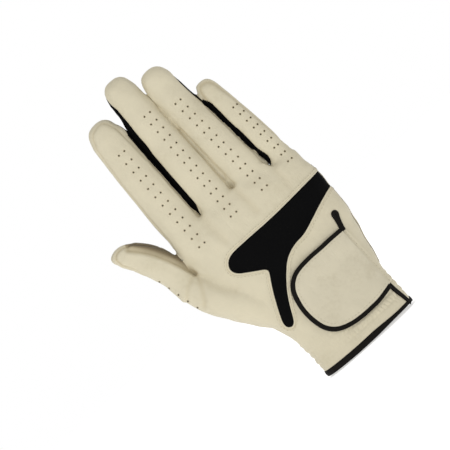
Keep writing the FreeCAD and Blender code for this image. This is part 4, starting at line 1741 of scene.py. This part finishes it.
@dataclass
class Closure:
    """The tab that closes the wrist slit, with its binding, hook and loop, and the slit's own binding."""

    glove: Glove
    root: float = 34.3
    nose: float = -18.1
    foot: float = 16.3
    head: float = 66.0
    inner: float = 1.5 * MM
    outer: float = 2.4 * MM
    pitch: float = 1.3 * MM
    pad_round: float = 3.0

    @staticmethod
    def slit_line() -> Array:
        """The line of the slit from the hem to its keyhole."""
        return flow(((36.9, -0.9), (35.9, 6), (34.6, 14), (33.9, 24), (33.7, 40), (34.5, 54), (35.9, 66),
                     (38.8, 76.8)))

    def outline(self) -> Array:
        """Draws the tab's outline.

        Returns:
            Its points in metres: straight at its root, round at its nose.
        """
        root, nose, foot, head = self.root, self.nose, self.foot, self.head
        return flow(((root, foot + 2.1), (root, foot + 2.1), (20, foot - 0.3), (6, foot - 0.2),
                     (-3.5, foot + 1.1), (-10.6, foot + 4.1), (nose + 3.0, foot + 9.2),
                     (nose + 0.6, foot + 17), (nose, 41), (nose + 0.7, head - 16.6),
                     (nose + 3.1, head - 8.8), (-10, head - 3.4), (-3, head - 0.7), (6, head), (20, head),
                     (root, head - 0.2), (root, head - 0.2)), closed=True)

    def build(self) -> None:
        """Makes every piece of the closure."""
        glove, last = self.glove, self.glove.last
        finishes = glove.finishes
        outline = resampled(self.outline(), self.pitch, closed=True)
        flap = laid_plate(last, outline, Face.BACK, self.inner, self.outer, 26)
        tab = make_piece("tab_leather_flap", flap, finishes.tab_leather)
        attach(tab, "tab")
        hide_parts("tab_leather")
        self.bind(outline)
        self.pads()
        self.slit_tape()
        self.root_strip()

    def bind(self, outline: Array) -> None:
        """Binds the tab's free edge with black tape.

        Args:
            outline: The tab's outline.
        """
        glove = self.glove
        free = outline[outline[:, 0] < (self.root - 0.8) * MM]
        start = int(np.argmax(np.linalg.norm(free - np.roll(free, 1, axis=0), axis=1)))
        line = np.roll(free, -start, axis=0)
        path, normals = glove.last.under(line, Face.BACK, 0.0)
        path = relaxed(path, 3, closed=False)
        wide = 1.0 + 0.16 * bell(line[:, 0] / MM - self.nose, 12.0)
        profile = oval(3.0 * MM, 1.9 * MM, 1.95 * MM, 2.6)
        inward = 1 if np.cross(line[1] - line[0], outline.mean(axis=0) - line[0]) > 0 else -1
        profile[:, 0] += inward * 0.95 * MM
        tape = swept(path, normals, profile, wide)
        piece = make_piece("tab_binding_tape", tape, glove.finishes.tape)
        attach(piece, "tab")
        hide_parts("tab_binding")

    def pads(self) -> None:
        """Makes the hook pad under the tab and the loop patch it grips."""
        finishes = self.glove.finishes
        for node, name, slot, finish, body, low, high in (
                ("loop_patch", "loop_patch_pile", "loop_pile", finishes.loop, "hand", 0.03, 0.55),
                ("hook_pad", "hook_pad_plastic", "hook_plastic", finishes.hook, "tab", 0.85, 1.5)):
            (x0, _, z0), (x1, _, z1) = (tuple(place / MM for place in corner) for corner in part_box(node))
            bite = self.pad_round
            outline = flow(((x0 + bite, z0), (x1 - bite, z0), (x1, z0 + bite), (x1, z1 - bite),
                            (x1 - bite, z1), (x0 + bite, z1), (x0, z1 - bite), (x0, z0 + bite)), closed=True)
            outline = resampled(outline, 1.2 * MM, closed=True)
            plate = laid_plate(self.glove.last, outline, Face.BACK, low * MM, high * MM, 18)
            piece = make_piece(name, plate, finish)
            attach(piece, body)
            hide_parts(node)

    def slit_tape(self) -> None:
        """Binds both edges of the slit and its keyhole with one run of black tape."""
        glove = self.glove
        line = resampled(self.slit_line(), 1.2 * MM)
        middle, normals = glove.last.under(line, Face.BACK, 0.25 * MM)
        ahead = unit(np.gradient(middle, axis=0))
        side = unit(np.cross(ahead, normals))
        off, keyhole = 0.90 * MM, 1.55 * MM
        turn = np.radians(np.linspace(-112, 112, 15))[:, None]
        end, way, across = middle[-1] + ahead[-1] * 0.4 * MM, ahead[-1], side[-1]
        head = end + keyhole * (np.cos(turn) * way + np.sin(turn) * across)
        route = np.vstack([(middle - side * off)[:-2], head, (middle + side * off)[:-2][::-1]])
        towards = np.vstack([normals[:-2], np.tile(normals[-1], (len(head), 1)), normals[:-2][::-1]])
        wide = 0.90 + 0.30 * eased((route[:, 2] / MM - 68) / 8)
        profile = oval(2.45 * MM, 1.25 * MM, 0.1 * MM, 2.4, 14)
        tape = swept(relaxed(route, 2, closed=False), towards, profile, wide)
        piece = make_piece("slit_binding_tape", tape, glove.finishes.tape)
        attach(piece, "hand")
        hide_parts("slit_binding")

    def root_strip(self) -> None:
        """Makes the strip that the tab's root is sewn under."""
        near, far = self.root + 0.35, self.root + 3.4
        foot, head = self.foot + 2.0, self.head - 0.8
        outline = flow(((near, foot), (near, foot), (far - 0.6, foot), (far - 0.6, foot), (far, 41),
                        (far, head), (far, head), (near, head), (near, head), (near, 41)), closed=True)
        plate = laid_plate(self.glove.last, resampled(outline, 1.2 * MM, closed=True), Face.BACK, 0.03 * MM,
                           1.25 * MM, 8, 0.5 * MM)
        piece = make_piece("tab_root_strip_leather", plate, self.glove.finishes.leather)
        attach(piece, "hand")
        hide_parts("tab_root_strip")


@dataclass
class Stitching:
    """Every row of thread, one piece for each body that it is sewn to."""

    glove: Glove
    pitch: float = 2.5 * MM
    length: float = 1.9 * MM
    radius: float = 0.17 * MM
    sides: int = 6
    sections: tuple[tuple[float, float], ...] = (
        (-0.5, 0.35), (-0.28, 0.95), (0.0, 1.0), (0.28, 0.95), (0.5, 0.35))
    rows: dict[str, list[Solid]] = field(default_factory=dict)

    def row(self, body: str, path: Array, normals: Array, offset: float, closed: bool,
            height: float = 0.08 * MM, follow: bool = True) -> None:
        """Sews one row of stitches beside a path.

        Args:
            body: The body that the row moves with.
            path: The path's points.
            normals: The surface's direction at each.
            offset: How far beside the path the row runs.
            closed: Whether the path closes on itself.
            height: How far the thread's middle stands off.
            follow: Whether the row is moved onto the skin.
        """
        ahead = unit(np.roll(path, -1, axis=0) - np.roll(path, 1, axis=0))
        if not closed:
            ahead[0], ahead[-1] = ahead[1], ahead[-2]
        line = path + unit(np.cross(normals, ahead)) * offset
        line = resampled(relaxed(line, 2, closed), self.pitch, closed)
        if follow:
            line, normals = self.glove.draped.nearest(line, height)
        else:
            normals = resampled(normals, self.pitch, closed)
            here, known = np.linspace(0, 1, len(line)), np.linspace(0, 1, len(normals))
            normals = unit(np.stack([np.interp(here, known, normals[:, axis]) for axis in range(3)], 1))
        ahead = unit(np.roll(line, -1, axis=0) - np.roll(line, 1, axis=0))
        if not closed:
            ahead[0], ahead[-1] = ahead[1], ahead[-2]
        turn = np.arange(self.sides) * 2 * math.pi / self.sides
        for place, way, up in zip(line, ahead, normals):
            side = np.cross(way, up)
            ring = np.outer(np.cos(turn), side) + np.outer(np.sin(turn), up)
            rings = []
            for share, size in self.sections:
                middle = place + way * self.length * share - up * self.radius * 5 * share * share
                rings.append(middle + self.radius * size * ring)
            self.rows.setdefault(body, []).append(tube(rings))

    def border(self, chosen: Array, offset: float, keep: Callable[[Array], Array],
               height: float = 0.08 * MM) -> None:
        """Sews beside the longest border of some of the hand's faces.

        Args:
            chosen: Which faces.
            offset: How far within the border the row runs.
            keep: Says at which points it is sewn.
            height: How far the thread's middle stands off.
        """
        loop = self.glove.skin.borders(chosen)[0]
        path = relaxed(resampled(self.glove.skin.points[loop], 1.0 * MM, closed=True), 5)
        wanted = keep(path)
        if not wanted.all():
            start = int(np.argmax(wanted & ~np.roll(wanted, 1)))
            path, wanted = np.roll(path, -start, axis=0), np.roll(wanted, -start)
            stop = int(np.argmax(~wanted))
            path = path[:stop]
        _, normals = self.glove.draped.nearest(path, 0.0)
        self.row("hand", path, normals, offset, bool(wanted.all()), height)

    def build(self) -> None:
        """Sews every seam that shows thread."""
        glove = self.glove
        middles = glove.skin.middles()
        hand = glove.bodies["hand"]
        self.border(hand & (glove.insert.value(middles) > 0), -1.9 * MM, lambda p: p[:, 1] < 0.001)
        self.border(hand & (glove.heel.value(middles) > 0), 1.3 * MM,
                    lambda p: (p[:, 1] > 0.003) & (p[:, 0] < 0.04), height=0.62 * MM)
        self.border(hand & (glove.thenar.value(middles) > 0), 1.2 * MM,
                    lambda p: (p[:, 1] > 0.004) & (p[:, 0] > -0.05))
        closure = Closure(glove)
        outline = resampled(closure.outline(), closure.pitch, closed=True)
        inner = outline.mean(axis=0) + (outline - outline.mean(axis=0)) * 0.915
        line = inner[inner[:, 0] < 31.5 * MM]
        start = int(np.argmax(np.linalg.norm(line - np.roll(line, 1, axis=0), axis=1)))
        line = np.roll(line, -start, axis=0)
        path, normals = glove.last.under(line, Face.BACK, 2.42 * MM)
        self.row("tab", path, normals, 0.0, False, follow=False)
        root = closure.root
        line = resampled(flow(((root + 1.3, 20), (root + 1.6, 41), (root + 1.7, 63))), 1.2 * MM)
        path, normals = glove.last.under(line, Face.BACK, 1.25 * MM)
        self.row("hand", path, normals, 0.0, False, follow=False)
        for body, solids in self.rows.items():
            points = np.vstack([solid.points for solid in solids])
            starts = np.cumsum([0] + [len(solid.points) for solid in solids[:-1]])
            faces = np.vstack([solid.faces + start for solid, start in zip(solids, starts)])
            piece = make_piece(f"{body}_cream_stitching", Solid(points, faces), glove.finishes.thread)
            glove.hang(piece, body)
            log.info("%s: %d stitches", piece.name, len(solids))


# ---------------------------------------------------------------- studio


@dataclass
class Studio:
    """A white table and backdrop, broad soft lamps and a long lens."""

    middle: tuple[float, float, float] = (-0.0205, 0.0, 0.121)
    distance: float = 1.6
    lens: float = 190.0
    roll: float = 42.0
    lights: tuple[tuple[str, tuple[float, float, float], float, float], ...] = (
        ("key", (-0.9, -1.3, 1.1), 10.5, 0.8), ("fill", (1.2, -1.0, 0.2), 2.2, 1.2),
        ("rear", (0.3, 1.5, 1.0), 4.5, 1.0))
    room_light: float = 0.50
    half_table: float = 4.0
    table_drop: float = 1.2 * MM

    def build(self) -> None:
        """Builds the table, lamps and camera."""
        self.table()
        self.lamps()
        self.camera()
        bpy.context.scene.view_settings.view_transform = "Standard"

    def table(self) -> None:
        """Lays a white table under the cuff."""
        nodes = Nodes("white_table")
        nodes.set(Roughness=0.9, Specular_IOR_Level=0.1, Emission_Strength=0.55)
        nodes.shader.inputs["Emission Color"].default_value = (1.0, 1.0, 1.0, 1.0)
        fleck = nodes.noise(60.0, 3.0)
        nodes.link(nodes.colours(fleck, [(0.0, (0.90, 0.90, 0.90)), (1.0, (0.94, 0.94, 0.94))]),
                   nodes.shader.inputs["Base Color"])
        level, side = cad_box[0][2] - self.table_drop, self.half_table
        corners = [(-side, -side, level), (side, -side, level), (side, side, level), (-side, side, level)]
        mesh = bpy.data.meshes.new("table")
        mesh.from_pydata(corners, [], [(0, 1, 2, 3)])
        mesh.materials.append(nodes.material)
        table = bpy.data.objects.new("table", mesh)
        bpy.context.scene.collection.objects.link(table)

    def lamps(self) -> None:
        """Hangs a broad lamp at the upper left, a low fill and one behind, in an even white room."""
        world = bpy.data.worlds.new("room")
        world.use_nodes = True
        tree = world.node_tree
        glow = tree.nodes["Background"]
        glow.inputs["Color"].default_value = (1.0, 1.0, 1.0, 1.0)
        ray = tree.nodes.new("ShaderNodeLightPath")
        spread = tree.nodes.new("ShaderNodeMapRange")
        spread.inputs["To Min"].default_value = self.room_light
        spread.inputs["To Max"].default_value = 1.0
        tree.links.new(ray.outputs["Is Camera Ray"], spread.inputs["Value"])
        tree.links.new(spread.outputs["Result"], glow.inputs["Strength"])
        bpy.context.scene.world = world
        middle = Vector(self.middle)
        for name, place, power, size in self.lights:
            lamp = bpy.data.lights.new(name, "AREA")
            lamp.energy, lamp.size = power, size
            holder = bpy.data.objects.new(name, lamp)
            holder.location = place
            holder.rotation_euler = (middle - Vector(place)).to_track_quat("-Z", "Y").to_euler()
            bpy.context.scene.collection.objects.link(holder)

    def camera(self) -> None:
        """Sets the camera square to the back of the hand, rolled so that the fingers point up and left."""
        lens = bpy.data.cameras.new("camera")
        lens.lens = self.lens
        lens.clip_start, lens.clip_end = 0.05, 30.0
        camera = bpy.data.objects.new("camera", lens)
        roll = Matrix.Rotation(math.radians(self.roll), 4, "Y") @ Matrix.Rotation(math.pi / 2, 4, "X")
        place = Vector(self.middle) - Vector((0.0, self.distance, 0.0))
        camera.matrix_world = Matrix.Translation(place) @ roll
        bpy.context.scene.collection.objects.link(camera)
        bpy.context.scene.camera = camera


def main() -> None:
    """Builds the glove in the order that it is made in."""
    logging.basicConfig(level=logging.INFO, format="%(name)s %(message)s")
    Studio().build()
    glove = Glove(Finishes())
    glove.build()
    log.info("skin: %d faces", len(glove.skin.faces))
    glove.panels()
    Cuff(glove).build()
    Closure(glove).build()
    Stitching(glove).build()


if __name__ == "__main__":
    main()
